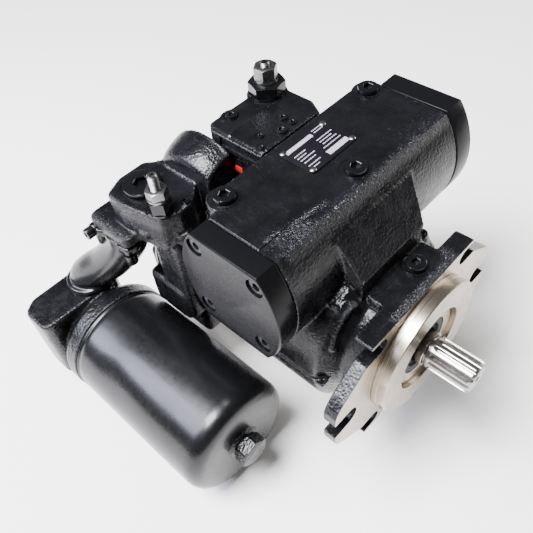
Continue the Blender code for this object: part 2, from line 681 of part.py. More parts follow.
def build_swashplate():
    body = cylinder("swashplate", "Y", (0, 0), SWASH_R, SWASH_BACK, SWASH_FACE, STEEL)
    parts = []
    for side, low, high in (("low", -38, -25), ("high", 25, 38)):
        runner = cylinder(f"runner_{side}", "Z", (0, PIVOT_Y), CRADLE_R, low, high, sides=48)
        cut(runner, box(f"runner_trim_{side}", (-40, SWASH_FACE - 4, low - 1), (40, 90, high + 1)))
        parts.append(runner)
    parts.append(box("arm_post", (-8, 31, 40), (8, SWASH_FACE, 64), rounding=1.0))
    parts.append(box("arm_beam", (-3.5, 33, 55), (3.5, PIN_Y, 64)))
    parts.append(cylinder("arm_pin", "Z", (0, PIN_Y), PIN_R, 54, 66, sides=24))
    join(body, *parts)
    cut(body, cylinder("shaft_clearance", "Y", (0, 0), 23.0, 10, 50))
    for side, low, high in (("lower", -38, -25), ("upper", 25, 38)):
        seat = box(f"cradle_bearing_{side}", (-20, CAVITY_FRONT + GAP, low), (20, 22.5, high),
                   BRONZE)
        cut(seat, cylinder(f"cradle_bore_{side}", "Z", (0, PIVOT_Y), CRADLE_R + GAP, low - 1,
                           high + 1, sides=48))


def build_servo():
    body = turned("servo_piston", "X", (SERVO_Y, SERVO_Z),
                  [(0, -48), (21, -48), (SERVO_BORE_R - GAP, -45), (SERVO_BORE_R - GAP, 45),
                   (21, 48), (0, 48)], STEEL)
    cut(body, box("pin_slot", (-PIN_R - 0.45, 60, 40), (PIN_R + 0.45, 80, 68.5)),
        box("beam_slot", (-13, 50, 40), (13, 68, 68.5)))
    turns, count = 6, 54
    coil = []
    for i in range(count + 1):
        angle = 2 * math.pi * turns * i / count
        along = 50.2 + 39.8 * i / count
        coil.append((along, SERVO_Y + 14 * math.cos(angle), SERVO_Z + 14 * math.sin(angle)))
    tube("centering_spring", coil, 1.6, STEEL, resolution=1)


def rotor_outline():
    """Gerotor inner profile: the lobe circle offset inwards from the path of its centre."""
    out = []
    count = 72
    ring_teeth = ROTOR_TEETH + 1
    reach = LOBE_R + ROTOR_CLEARANCE
    for i in range(count):
        even = 2 * math.pi * i / count
        u = even + ROTOR_CROWDING * math.sin(ROTOR_TEETH * even) / ROTOR_TEETH
        x = LOBE_PITCH_R * math.cos(u) + ECCENTRICITY * math.cos(ring_teeth * u)
        z = LOBE_PITCH_R * math.sin(u) + ECCENTRICITY * math.sin(ring_teeth * u)
        slope_x = -LOBE_PITCH_R * math.sin(u) - ring_teeth * ECCENTRICITY * math.sin(ring_teeth * u)
        slope_z = LOBE_PITCH_R * math.cos(u) + ring_teeth * ECCENTRICITY * math.cos(ring_teeth * u)
        size = math.hypot(slope_x, slope_z)
        out.append((x - reach * slope_z / size, z + reach * slope_x / size))
    return out


def build_charge_pump():
    inner = plate("gerotor_inner", "Y", rotor_outline(), ROTOR_FRONT, ROTOR_REAR, STEEL)
    cut(inner, cylinder("rotor_bore", "Y", (0, 0), 7.3, ROTOR_FRONT - 1, ROTOR_REAR + 1, sides=24))
    outer = sleeve("gerotor_ring", "Y", (ECCENTRICITY, 0), 18.2, 28.0, ROTOR_FRONT, ROTOR_REAR,
                   STEEL)
    for number in range(ROTOR_TEETH + 1):
        angle = 2 * math.pi * number / (ROTOR_TEETH + 1)
        at = (ECCENTRICITY + LOBE_PITCH_R * math.cos(angle), LOBE_PITCH_R * math.sin(angle))
        join(outer, cylinder(f"lobe_{number}", "Y", at, LOBE_R, ROTOR_FRONT, ROTOR_REAR, sides=14))
    seam = ROTOR_REAR + GAP
    case = sleeve("charge_pump_case", "Y", (0, 0), 9.0, CHARGE_R, CAP_REAR + GAP, seam, PAINT, 48)
    cut(case, cylinder("ring_pocket", "Y", (ECCENTRICITY, 0), 28.3, ROTOR_FRONT - GAP, seam + 1))
    cover = turned("charge_pump_cover", "Y", (0, 0),
                   [(0, seam + GAP), (CHARGE_R, seam + GAP), (CHARGE_R, CHARGE_REAR - 4),
                    (CHARGE_R - 4, CHARGE_REAR), (0, CHARGE_REAR)], PAINT, steps=48)
    cut(cover, cylinder("shaft_tail", "Y", (0, 0), 7.5, seam - 1, 225, sides=24))


def hang(name, at, prefixes):
    """Parents moving pieces to an empty on the axis that they move about."""
    pivot = bpy.data.objects.new(name, None)
    pivot.location = Vector(at) * MM
    PARTS.objects.link(pivot)
    for obj in list(PARTS.objects):
        if obj.type == "MESH" and obj.name.startswith(prefixes):
            obj.parent = pivot
            obj.matrix_parent_inverse = Matrix.Translation(-pivot.location)


def build_all():
    build_housing()
    build_cover("left", COVER_LEFT_END, SERVO_LEFT - GAP)
    build_cover("right", SERVO_RIGHT + GAP, COVER_RIGHT_END)
    build_cover_screws("left", COVER_LEFT_END, 1)
    build_cover_screws("right", COVER_RIGHT_END, -1)
    for number, centre in enumerate(TOP_PLUGS, start=1):
        build_plug(f"top_plug_{number}", centre, TOP_Z, 7.2, 6.0, 3.4, 5.4, 6.0)
    build_plug("drain_plug", DRAIN_PLUG, FLANGE_TOP + 0.3, 7.0, 5.0, 4.0, 10.0, 5.0)
    build_end_cap()
    build_plug("large_plug", LARGE_PLUG, PAD_Z, 13.5, 11.0, 4.0, 12.0, 10.0)
    build_valve_stack("relief", RELIEF_VALVE, PAD_Z, (14.5, 89.0), (13.0, 97.0), (3.6, 108.0), 5.8)
    build_valve_stack("cutoff", CUTOFF_VALVE, TOP_Z, (23.0, 115.0), (14.5, 126.0), (3.6, 128.5),
                      7.8)
    build_control()
    build_nameplate()
    build_filter()
    build_elbow()
    build_shaft()
    build_front_end()
    build_block()
    build_slippers()
    build_swashplate()
    build_servo()
    build_charge_pump()
    hang("shaft_axis", (0, 0, 0), ("drive_shaft", "cylinder_block", "piston_", "hold_down_sleeve",
                                   "gerotor_inner"))
    hang("swash_pivot", (0, PIVOT_Y, 0), ("swashplate", "slipper_ring"))
    hang("ring_axis", (ECCENTRICITY, 0, 0), ("gerotor_ring",))


build_all()
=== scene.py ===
"""Visual model of the axial piston pump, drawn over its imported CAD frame.

Shapes are given in millimetres in the CAD's own frame: the shaft points to -Y, +Z is up and the
origin is the centre of the mounting flange's face. MM turns them into metres.
"""
import json
import math
import random

import bmesh
import bpy
import numpy as np
from mathutils import Matrix, Vector


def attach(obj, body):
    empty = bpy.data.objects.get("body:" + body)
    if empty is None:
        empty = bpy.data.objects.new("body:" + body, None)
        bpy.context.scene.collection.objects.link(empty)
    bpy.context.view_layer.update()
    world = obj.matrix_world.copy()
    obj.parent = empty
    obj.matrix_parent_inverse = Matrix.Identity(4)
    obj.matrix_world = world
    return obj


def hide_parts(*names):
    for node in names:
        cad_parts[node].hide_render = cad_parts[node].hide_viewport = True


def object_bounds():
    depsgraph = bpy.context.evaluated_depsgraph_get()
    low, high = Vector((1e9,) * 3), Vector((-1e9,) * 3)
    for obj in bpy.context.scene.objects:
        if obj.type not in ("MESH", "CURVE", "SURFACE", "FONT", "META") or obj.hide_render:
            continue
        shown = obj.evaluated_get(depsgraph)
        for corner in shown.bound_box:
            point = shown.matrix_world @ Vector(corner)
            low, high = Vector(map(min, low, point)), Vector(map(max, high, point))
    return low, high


MM = 0.001
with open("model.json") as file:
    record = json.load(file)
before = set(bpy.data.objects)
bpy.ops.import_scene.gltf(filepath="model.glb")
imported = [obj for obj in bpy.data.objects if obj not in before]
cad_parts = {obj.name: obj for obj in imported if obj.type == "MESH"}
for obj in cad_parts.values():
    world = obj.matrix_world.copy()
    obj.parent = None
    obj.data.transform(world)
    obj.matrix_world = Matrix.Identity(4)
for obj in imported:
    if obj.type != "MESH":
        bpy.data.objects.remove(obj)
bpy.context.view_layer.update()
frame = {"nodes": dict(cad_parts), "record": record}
PUMP = bpy.data.collections.new("pump_pieces")
bpy.context.scene.collection.children.link(PUMP)

# ---------------------------------------------------------------- camera


def make_camera():
    """Camera at a three-quarter view from above."""
    azimuth, elevation, roll = (math.radians(degrees) for degrees in (-42.2, 50.2, -6.77))
    right = Vector((math.cos(azimuth), math.sin(azimuth), 0.0))
    back = Vector((math.sin(azimuth) * math.cos(elevation),
                   -math.cos(azimuth) * math.cos(elevation), math.sin(elevation)))
    up = back.cross(right)
    across = math.cos(roll) * right + math.sin(roll) * up
    above = -math.sin(roll) * right + math.cos(roll) * up
    data = bpy.data.cameras.new("camera")
    data.sensor_width = 36.0
    data.lens = 40.12
    data.shift_x = -0.0105
    data.shift_y = 0.0161
    data.clip_start = 0.01
    camera = bpy.data.objects.new("camera", data)
    camera.matrix_world = (Matrix.Translation(Vector((-209.38, -95.72, 339.42)) * MM)
                           @ Matrix((across, above, back)).transposed().to_4x4())
    bpy.context.scene.collection.objects.link(camera)
    bpy.context.scene.camera = camera


# ---------------------------------------------------------------- materials


class Nodes:
    """Short names for wiring one material's node tree."""

    def __init__(self, name):
        self.material = bpy.data.materials.new(name)
        self.material.use_nodes = True
        self.tree = self.material.node_tree
        self.shader = self.tree.nodes["Principled BSDF"]
        self.position = self.add("ShaderNodeTexCoord").outputs["Object"]

    def add(self, kind, **values):
        node = self.tree.nodes.new(kind)
        for key, value in values.items():
            setattr(node, key, value)
        return node

    def link(self, source, target):
        self.tree.links.new(source, target)

    def noise(self, scale, detail, roughness, source=None):
        node = self.add("ShaderNodeTexNoise")
        node.inputs["Scale"].default_value = scale
        node.inputs["Detail"].default_value = detail
        node.inputs["Roughness"].default_value = roughness
        self.link(source or self.position, node.inputs["Vector"])
        return node.outputs["Fac"]

    def cells(self, scale, feature, source=None):
        node = self.add("ShaderNodeTexVoronoi", feature=feature)
        node.inputs["Scale"].default_value = scale
        self.link(source or self.position, node.inputs["Vector"])
        return node.outputs["Distance"]

    def warped(self, scale, reach):
        """The position, pushed about by slow noise."""
        noise = self.add("ShaderNodeTexNoise")
        noise.inputs["Scale"].default_value = scale
        self.link(self.position, noise.inputs["Vector"])
        push = self.add("ShaderNodeVectorMath", operation="MULTIPLY_ADD")
        self.link(noise.outputs["Color"], push.inputs[0])
        push.inputs[1].default_value = (reach, reach, reach)
        self.link(self.position, push.inputs[2])
        return push.outputs["Vector"]

    def stretch(self, x, y, z):
        node = self.add("ShaderNodeMapping")
        node.inputs["Scale"].default_value = (x, y, z)
        self.link(self.position, node.inputs["Vector"])
        return node.outputs["Vector"]

    def ramp(self, source, *stops):
        node = self.add("ShaderNodeValToRGB")
        ramp = node.color_ramp
        while len(ramp.elements) < len(stops):
            ramp.elements.new(0.5)
        for element, (at, value) in zip(ramp.elements, stops):
            element.position = at
            colour = value if isinstance(value, tuple) else (value, value, value)
            element.color = (*colour, 1.0)
        self.link(source, node.inputs["Fac"])
        return node.outputs["Color"]

    def math(self, operation, a, b=0.0):
        node = self.add("ShaderNodeMath", operation=operation)
        for socket, value in zip(node.inputs, (a, b)):
            if isinstance(value, (int, float)):
                socket.default_value = value
            else:
                self.link(value, socket)
        return node.outputs["Value"]

    def mix(self, fac, a, b):
        node = self.add("ShaderNodeMix", data_type="RGBA")
        self.link(fac, node.inputs["Factor"])
        for socket, value in ((node.inputs[6], a), (node.inputs[7], b)):
            if isinstance(value, tuple):
                socket.default_value = (*value, 1.0)
            else:
                self.link(value, socket)
        return node.outputs[2]

    def attribute(self, name):
        return self.add("ShaderNodeAttribute", attribute_name=name).outputs["Fac"]

    def bump(self, height, strength, distance, after=None):
        node = self.add("ShaderNodeBump")
        node.inputs["Strength"].default_value = strength
        node.inputs["Distance"].default_value = distance
        self.link(height, node.inputs["Height"])
        if after:
            self.link(after, node.inputs["Normal"])
        return node.outputs["Normal"]

    def finish(self, colour, roughness, normal=None, metallic=0.0, specular=0.5, coat=0.0):
        for source, key in ((colour, "Base Color"), (roughness, "Roughness")):
            socket = self.shader.inputs[key]
            if isinstance(source, tuple):
                socket.default_value = (*source, 1.0)
            elif isinstance(source, float):
                socket.default_value = source
            else:
                self.link(source, socket)
        if normal:
            self.link(normal, self.shader.inputs["Normal"])
        self.shader.inputs["Metallic"].default_value = metallic
        self.shader.inputs["Specular IOR Level"].default_value = specular
        self.shader.inputs["Coat Weight"].default_value = coat
        self.shader.inputs["Coat Roughness"].default_value = 0.12
        return self.material


def cast_paint(name, pebble, dust_and_glint=0.3):
    """Glossy black paint over a cast skin; edges, marked by an attribute, are rougher and chipped. The
    lighter specks, scuffs and chips are partly dust and wear, partly painted highlight glints.
    """
    tone, glossy, dull = 0.0018, 0.16, 0.42
    n = Nodes(name)
    edge = n.attribute("edge")
    grain = n.noise(420.0, 5.0, 0.6)
    pits = n.cells(620.0, "SMOOTH_F1")
    waves = n.noise(55.0, 3.0, 0.5)
    skin = n.math("ADD", n.math("MULTIPLY", grain, 0.7), n.math("MULTIPLY", pits, 0.8))
    lumps = n.noise(900.0, 3.0, 0.7)
    rough_edge = n.math("MULTIPLY", edge, lumps)
    height = n.math("ADD", n.math("MULTIPLY", skin, pebble), n.math("MULTIPLY", rough_edge, 2.6))
    normal = n.bump(height, 0.5, 0.0006, n.bump(waves, 0.25, 0.0008))
    # The specks, scuffs and edge chips that follow are lighter than the paint: partly dust and wear,
    # partly painted highlight glints standing in for lamp sparkle on the bumps and rounded edges.
    spots = n.noise(820.0, 2.0, 0.8)
    specks = n.ramp(spots, (0.69, 0.0), (0.75, 1.0))
    edge_chips_and_glints = n.math("MULTIPLY", n.ramp(spots, (0.63, 0.0), (0.69, 1.0)), edge)
    patches = n.ramp(n.noise(38.0, 4.0, 0.6), (0.45, 0.0), (0.7, 1.0))
    lines = n.ramp(n.cells(62.0, "DISTANCE_TO_EDGE", n.warped(38.0, 0.018)), (0.0, 1.0), (0.012, 0.0))
    scuffs = n.math("MULTIPLY", lines, n.ramp(n.noise(85.0, 2.0, 0.5), (0.56, 0.0), (0.64, 0.7)))
    specks = n.math("MAXIMUM", specks, scuffs)
    wear_and_glint = n.math("MAXIMUM", n.math("MULTIPLY", specks, n.math("MULTIPLY", patches, dust_and_glint)), edge_chips_and_glints)
    base = n.mix(n.ramp(waves, (0.3, 0.0), (0.7, 1.0)), (tone, tone, tone * 1.15),
                 (tone * 2.1, tone * 2.1, tone * 2.5))
    # Painted highlight: the speck, scuff and chip mask mixes in a pale lavender, the lamps' colour. It
    # is partly real dust and wear and partly a painted glint of the lamps.
    colour = n.mix(wear_and_glint, base, (0.17, 0.17, 0.22))
    rough = n.ramp(n.noise(120.0, 4.0, 0.6), (0.3, glossy), (0.75, dull))
    return n.finish(colour, rough, normal, specular=0.26)


def smooth_paint(name, tone, gloss, coat, specular=0.28):
    """Glossy black paint on pressed or machined metal, with faint orange peel and dusty specks."""
    n = Nodes(name)
    peel = n.noise(260.0, 3.0, 0.5)
    waves = n.noise(30.0, 2.0, 0.5)
    specks = n.ramp(n.noise(1300.0, 2.0, 0.8), (0.7, 0.0), (0.78, 1.0))
    smears = n.ramp(n.noise(24.0, 5.0, 0.7, n.stretch(1.0, 0.25, 1.0)), (0.45, 0.0), (0.75, 1.0))
    colour = n.mix(n.math("MULTIPLY", specks, n.math("MULTIPLY", smears, 0.5)),
                   (tone, tone, tone * 1.15), (0.06, 0.06, 0.075))
    rough = n.ramp(n.math("ADD", n.math("MULTIPLY", smears, 0.5), n.math("MULTIPLY", peel, 0.5)),
                   (0.2, gloss[0]), (0.8, gloss[1]))
    normal = n.bump(peel, 0.12, 0.0003, n.bump(waves, 0.15, 0.001))
    return n.finish(colour, rough, normal, specular=specular, coat=coat)


def turned_steel(name, tint=(0.42, 0.36, 0.29), rough=(0.2, 0.36)):
    """Bare machined steel with turning marks about the shaft axis; the default warm tint is partly a
    painted reflection of a warm surface below.
    """
    n = Nodes(name)
    parts = n.add("ShaderNodeSeparateXYZ")
    n.link(n.position, parts.inputs["Vector"])
    x, y, z = (parts.outputs[i] for i in range(3))
    radius = n.math("SQRT", n.math("ADD", n.math("MULTIPLY", x, x), n.math("MULTIPLY", z, z)))
    marks_at = n.add("ShaderNodeCombineXYZ")
    n.link(radius, marks_at.inputs[0])
    n.link(y, marks_at.inputs[1])
    marks = n.noise(2600.0, 2.0, 0.6, marks_at.outputs[0])
    stains = n.noise(45.0, 4.0, 0.6)
    dark = tuple(c * 0.72 for c in tint)
    colour = n.mix(n.ramp(stains, (0.35, 0.0), (0.75, 1.0)), tint, dark)
    roughness = n.ramp(n.math("ADD", n.math("MULTIPLY", marks, 0.5),
                              n.math("MULTIPLY", stains, 0.5)), (0.3, rough[0]), (0.7, rough[1]))
    return n.finish(colour, roughness, n.bump(marks, 0.16, 0.0002), metallic=1.0)


def plated(name, tint, rough):
    """Bright plated metal with light handling marks."""
    n = Nodes(name)
    marks = n.noise(500.0, 4.0, 0.6)
    smudge = n.noise(130.0, 3.0, 0.6)
    colour = n.mix(n.ramp(smudge, (0.4, 0.0), (0.8, 1.0)), tint, tuple(c * 0.6 for c in tint))
    return n.finish(colour, n.ramp(marks, (0.3, rough), (0.8, rough + 0.2)),
                    n.bump(marks, 0.08, 0.0002), metallic=1.0)


def matt(name, tint, rough, scale=400.0, strength=0.3):
    n = Nodes(name)
    grain = n.noise(scale, 4.0, 0.6)
    colour = n.mix(n.ramp(grain, (0.35, 0.0), (0.7, 1.0)), tint, tuple(c * 0.7 for c in tint))
    return n.finish(colour, n.ramp(grain, (0.3, rough), (0.8, min(1.0, rough + 0.12))),
                    n.bump(grain, strength, 0.0003), specular=0.2)


# ---------------------------------------------------------------- shapes


def spot(axis, a, b, t):
    """A point from its two coordinates across an axis and one along it."""
    return {"X": (t, a, b), "Y": (a, t, b), "Z": (a, b, t)}[axis]


def loft(loops, cyclic=False):
    """Skin over closed loops with equal point counts, capped at both ends unless cyclic."""
    count = len(loops[0])
    verts = [p for loop in loops for p in loop]
    faces = []
    steps = len(loops) if cyclic else len(loops) - 1
    for i in range(steps):
        low, high = i * count, ((i + 1) % len(loops)) * count
        for j in range(count):
            k = (j + 1) % count
            faces.append((low + j, low + k, high + k, high + j))
    if not cyclic:
        faces.append(tuple(range(count))[::-1])
        faces.append(tuple(range((len(loops) - 1) * count, len(loops) * count)))
    return verts, faces


def circle(axis, centre, radius, t, count):
    a, b = centre
    turns = [2 * math.pi * i / count for i in range(count)]
    return [spot(axis, a + radius * math.cos(u), b + radius * math.sin(u), t) for u in turns]


def lathe(axis, centre, profile, count, cyclic=False):
    """A turned body; the profile's points are (radius, place along the axis)."""
    return loft([circle(axis, centre, r, t, count) for r, t in profile], cyclic)


def rod(axis, centre, radius, start, end, count):
    return lathe(axis, centre, [(radius, start), (radius, end)], count)


def ring(axis, centre, inner, outer, start, end, count):
    """A flat ring of rectangular section."""
    profile = rectangle(inner, start, outer, end)
    return lathe(axis, centre, profile, count, cyclic=True)


def hexagon(radius_flats, angle, turn=0.0):
    """Distance from the centre of a hexagon to its edge at an angle."""
    local = (angle - turn) % (math.pi / 3) - math.pi / 6
    return radius_flats / math.cos(local)


def shaped(axis, centre, t, reach, count):
    """A loop whose distance from the centre is a function of the angle."""
    a, b = centre
    out = []
    for i in range(count):
        u = 2 * math.pi * i / count
        out.append(spot(axis, a + reach(u) * math.cos(u), b + reach(u) * math.sin(u), t))
    return out


def inset(outline, depth):
    """Outline moved inwards by a small depth."""
    area = sum(a[0] * b[1] - b[0] * a[1] for a, b in zip(outline, outline[1:] + outline[:1]))
    sign = 1.0 if area > 0 else -1.0
    out = []
    for i, here in enumerate(outline):
        back, ahead = Vector(outline[i - 1]), Vector(outline[(i + 1) % len(outline)])
        here = Vector(here)
        n1 = (here - back).normalized().orthogonal() * sign
        n2 = (ahead - here).normalized().orthogonal() * sign
        normal = n1 + n2
        if normal.length < 1e-6:
            normal = n1
        normal.normalize()
        scale = 1.0 / max(0.5, normal.dot(n1))
        out.append(tuple(here + normal * depth * scale))
    return out


def prism(axis, outline, start, end, edge, steps=3):
    """A plate with rounded rims."""
    turns = [math.pi / 2 * i / steps for i in range(steps + 1)]
    rim = [(inset(outline, edge * (1 - math.sin(u))), edge * (1 - math.cos(u))) for u in turns]
    loops = [[spot(axis, a, b, start + lift) for a, b in loop] for loop, lift in rim]
    loops += [[spot(axis, a, b, end - lift) for a, b in loop] for loop, lift in rim[::-1]]
    return loft(loops)


def arc(centre, radius, start, end, count):
    a, b = centre
    turns = [math.radians(start + (end - start) * i / count) for i in range(count + 1)]
    return [(a + radius * math.cos(u), b + radius * math.sin(u)) for u in turns]


def rounded(corners, radius, count):
    """Corners replaced by curves; the radius may be one number or one for each corner."""
    out = []
    total = len(corners)
    radii = radius if isinstance(radius, list) else [radius] * total
    for i in range(total):
        here = Vector(corners[i])
        back = Vector(corners[i - 1]) - here
        ahead = Vector(corners[(i + 1) % total]) - here
        half = math.acos(max(-1.0, min(1.0, back.normalized().dot(ahead.normalized())))) / 2
        reach = min(radii[i] / math.tan(half), back.length * 0.48, ahead.length * 0.48)
        first, last = here + back.normalized() * reach, here + ahead.normalized() * reach
        for step in range(count + 1):
            t = step / count
            out.append(tuple((1 - t) ** 2 * first + 2 * t * (1 - t) * here + t * t * last))
    return out


def rectangle(x0, y0, x1, y1):
    return [(x0, y0), (x1, y0), (x1, y1), (x0, y1)]


def box(low, high, edge):
    (x0, y0, z0), (x1, y1, z1) = low, high
    corner = min(edge * 1.2, (x1 - x0) / 3, (y1 - y0) / 3)
    outline = rounded(rectangle(x0, y0, x1, y1), corner, 4)
    return prism("Z", outline, z0, z1, min(edge, (z1 - z0) / 3))


def sweep(path, radius, count=32):
    """A round bar along points, without twist; radius may be a function of the share along it."""
    points = [Vector(p) for p in path]
    loops = []
    side = Vector((1, 0, 0))
    for i, here in enumerate(points):
        ahead = points[min(i + 1, len(points) - 1)] - points[max(i - 1, 0)]
        ahead.normalize()
        side = (side - ahead * side.dot(ahead)).normalized()
        other = ahead.cross(side)
        r = radius(i / (len(points) - 1)) if callable(radius) else radius
        loops.append([tuple(here + side * r * math.cos(2 * math.pi * j / count)
                            + other * r * math.sin(2 * math.pi * j / count))
                      for j in range(count)])
    return loft(loops)


def smooth_path(points, count):
    """Catmull-Rom curve through points."""
    path = [Vector(p) for p in points]
    path = [path[0] * 2 - path[1]] + path + [path[-1] * 2 - path[-2]]
    out = []
    for i in range(1, len(path) - 2):
        p0, p1, p2, p3 = path[i - 1:i + 3]
        for step in range(count):
            t = step / count
            out.append(0.5 * (2 * p1 + (p2 - p0) * t + (2 * p0 - 5 * p1 + 4 * p2 - p3) * t * t
                              + (3 * p1 - p0 - 3 * p2 + p3) * t ** 3))
    return out + [path[-2]]


def to_mesh(name, *solids):
    """One mesh in metres from several solids in millimetres."""
    bm = bmesh.new()
    for verts, faces in solids:
        made = [bm.verts.new(Vector(v) * MM) for v in verts]
        for face in faces:
            bm.faces.new([made[i] for i in face])
    bmesh.ops.recalc_face_normals(bm, faces=bm.faces)
    mesh = bpy.data.meshes.new(name)
    bm.to_mesh(mesh)
    bm.free()
    return mesh


def shade(mesh, sharp):
    """Smooth shading with sharp edges above an angle in degrees."""
    mesh.shade_smooth()
    mesh.set_sharp_from_angle(angle=math.radians(sharp))


def add(name, mesh, material, body, nodes=(), sharp=35.0):
    obj = bpy.data.objects.new(name, mesh)
    PUMP.objects.link(obj)
    mesh.materials.clear()
    mesh.materials.append(material)
    shade(mesh, sharp)
    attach(obj, body)
    if nodes:
        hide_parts(*nodes)
    return obj


def part(name, solids, material, nodes=(), body="housing", sharp=35.0):
    return add(name, to_mesh(name, *solids), material, body, nodes, sharp)


def bake(obj):
    """The object's mesh with its modifiers applied."""
    graph = bpy.context.evaluated_depsgraph_get()
    mesh = bpy.data.meshes.new_from_object(obj.evaluated_get(graph))
    obj.modifiers.clear()
    obj.data = mesh
    return mesh


def carve(obj, groups, materials, solver, sharp, self_crossing=False):
    """Cuts groups of solids out of an object; each group leaves the material of its index."""
    tools = []
    for index, solids in enumerate(groups):
        mesh = to_mesh("tool", *solids)
        for mat in materials:
            mesh.materials.append(mat)
        for face in mesh.polygons:
            face.material_index = index
        tool = bpy.data.objects.new("tool", mesh)
        PUMP.objects.link(tool)
        tools.append(tool)
        step = obj.modifiers.new("cut", "BOOLEAN")
        step.operation = "DIFFERENCE"
        step.solver = solver
        step.use_self = self_crossing
        step.object = tool
    shade(bake(obj), sharp)
    for tool in tools:
        bpy.data.objects.remove(tool, do_unlink=True)


def mark_edges(mesh):
    """Stores how sharply the surface turns at each vertex, for the wear and the painted highlight
    glints on edges.
    """
    gain, least = 5.0, 0.16
    count = len(mesh.vertices)
    normals = np.empty(count * 3)
    mesh.vertex_normals.foreach_get("vector", normals)
    normals = normals.reshape(-1, 3)
    places = np.empty(count * 3)
    mesh.vertices.foreach_get("co", places)
    places = places.reshape(-1, 3)
    ends = np.empty(len(mesh.edges) * 2, dtype=np.int64)
    mesh.edges.foreach_get("vertices", ends)
    a, b = ends.reshape(-1, 2).T
    gap = places[b] - places[a]
    length = np.maximum(np.linalg.norm(gap, axis=1), 1e-9)
    bend = ((normals[b] - normals[a]) * gap).sum(axis=1) / length
    total = np.bincount(a, bend, count) + np.bincount(b, bend, count)
    near = np.bincount(a, minlength=count) + np.bincount(b, minlength=count)
    value = total / np.maximum(near, 1)
    for _ in range(3):
        spread = np.bincount(a, value[b], count) + np.bincount(b, value[a], count)
        value = 0.5 * value + 0.5 * spread / np.maximum(near, 1)
    value = np.clip(value * gain - least, 0.0, 1.0)
    store = mesh.attributes.new("edge", "FLOAT", "POINT")
    store.data.foreach_set("value", value.astype(np.float32))


def roughen(obj, start, end, reach):
    """Mark a band along a line as a coarse edge, with wear and painted highlight glints."""
    a, b = Vector(start) * MM, Vector(end) * MM
    along = b - a
    marks = obj.data.attributes["edge"].data
    for vert in obj.data.vertices:
        share = max(0.0, min(1.0, (vert.co - a).dot(along) / along.length_squared))
        near = 1.0 - (vert.co - a - along * share).length / (reach * MM)
        if near > 0.0:
            marks[vert.index].value = max(marks[vert.index].value, min(1.0, near * 1.6))


def cast(name, solids, cutters, materials, nodes, voxel=1.0, smooth=6):
    """Solids fused into one casting with soft corners, then cut by one group for each material."""
    obj = bpy.data.objects.new(name, to_mesh(name, *solids))
    PUMP.objects.link(obj)
    fuse = obj.modifiers.new("fuse", "REMESH")
    fuse.mode = "VOXEL"
    fuse.voxel_size = voxel * MM
    soft = obj.modifiers.new("soft", "SMOOTH")
    soft.factor = 0.5
    soft.iterations = smooth
    mesh = bake(obj)
    mark_edges(mesh)
    mesh.materials.clear()
    for mat in materials:
        mesh.materials.append(mat)
    carve(obj, cutters, materials, "MANIFOLD", 40.0)
    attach(obj, "housing")
    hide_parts(*nodes)
    return obj


# ---------------------------------------------------------------- small hardware


def socket_head(axis, centre, base, top, radius, key, depth, rim, count=72):
    """A round head with a hex socket; base is its hidden end and top its visible face."""
    way = 1.0 if top > base else -1.0
    turn = math.pi / 2

    def hole(u):
        return hexagon(key / 2, u, turn)

    profile = [(radius - 0.3, base), (radius, base + 0.3 * way), (radius, top - rim * way),
               (radius - rim * 0.3, top - rim * 0.3 * way), (radius - rim, top)]
    loops = [circle(axis, centre, r, t, count) for r, t in profile]
    loops.append(shaped(axis, centre, top, lambda u: hole(u) + 0.35, count))
    loops.append(shaped(axis, centre, top - 0.35 * way, hole, count))
    loops.append(shaped(axis, centre, top - depth * way, hole, count))
    loops.append(circle(axis, centre, 0.3, top - (depth + 0.8) * way, count))
    return loft(loops)


def hex_nut(centre, low, high, flats, bore=0.0, axis="Z", turn=0.0):
    """A hexagon with chamfered corners, drilled through when it has a bore."""
    crown, chamfer, count = flats / 2 * 0.97, 0.55, 72

    def edge(u):
        return hexagon(flats / 2, u, turn)

    def loop(t, sign):
        out = []
        for i in range(count):
            u = 2 * math.pi * i / count
            drop = (edge(u) - crown) * chamfer
            out.append(spot(axis, centre[0] + edge(u) * math.cos(u),
                            centre[1] + edge(u) * math.sin(u), t - sign * drop))
        return out

    loops = [circle(axis, centre, crown, low, count), loop(low, -1), loop(high, 1),
             circle(axis, centre, crown, high, count)]
    if not bore:
        return loft(loops)
    loops.append(circle(axis, centre, bore + 0.4, high, count))
    loops.append(circle(axis, centre, bore, high - 0.4, count))
    loops.append(circle(axis, centre, bore, low, count))
    return loft(loops, cyclic=True)


def stud(centre, low, high, radius):
    """A threaded stud with a bevelled end and a small hex socket."""
    pitch, key, key_depth = 1.0, 3.0, 2.5
    profile = [(radius * 0.8, low)]
    t = low
    while t < high - 1.4:
        profile += [(radius * 0.87, t + pitch * 0.12), (radius, t + pitch * 0.45),
                    (radius, t + pitch * 0.6), (radius * 0.87, t + pitch * 0.95)]
        t += pitch
    profile += [(radius * 0.9, high - 0.8), (radius * 0.72, high)]
    loops = [circle("Z", centre, r, t, 48) for r, t in profile]
    loops += [shaped("Z", centre, t, lambda u: hexagon(key / 2, u), 48)
              for t in (high, high - key_depth)]
    return loft(loops)


def spotface(centre, level, radius, depth=0.5, width=1.3):
    """A ring-shaped tool that cuts a shallow groove round a plug."""
    return ring("Z", centre, radius - width, radius, level - depth, level + 3, 64)


# ---------------------------------------------------------------- castings

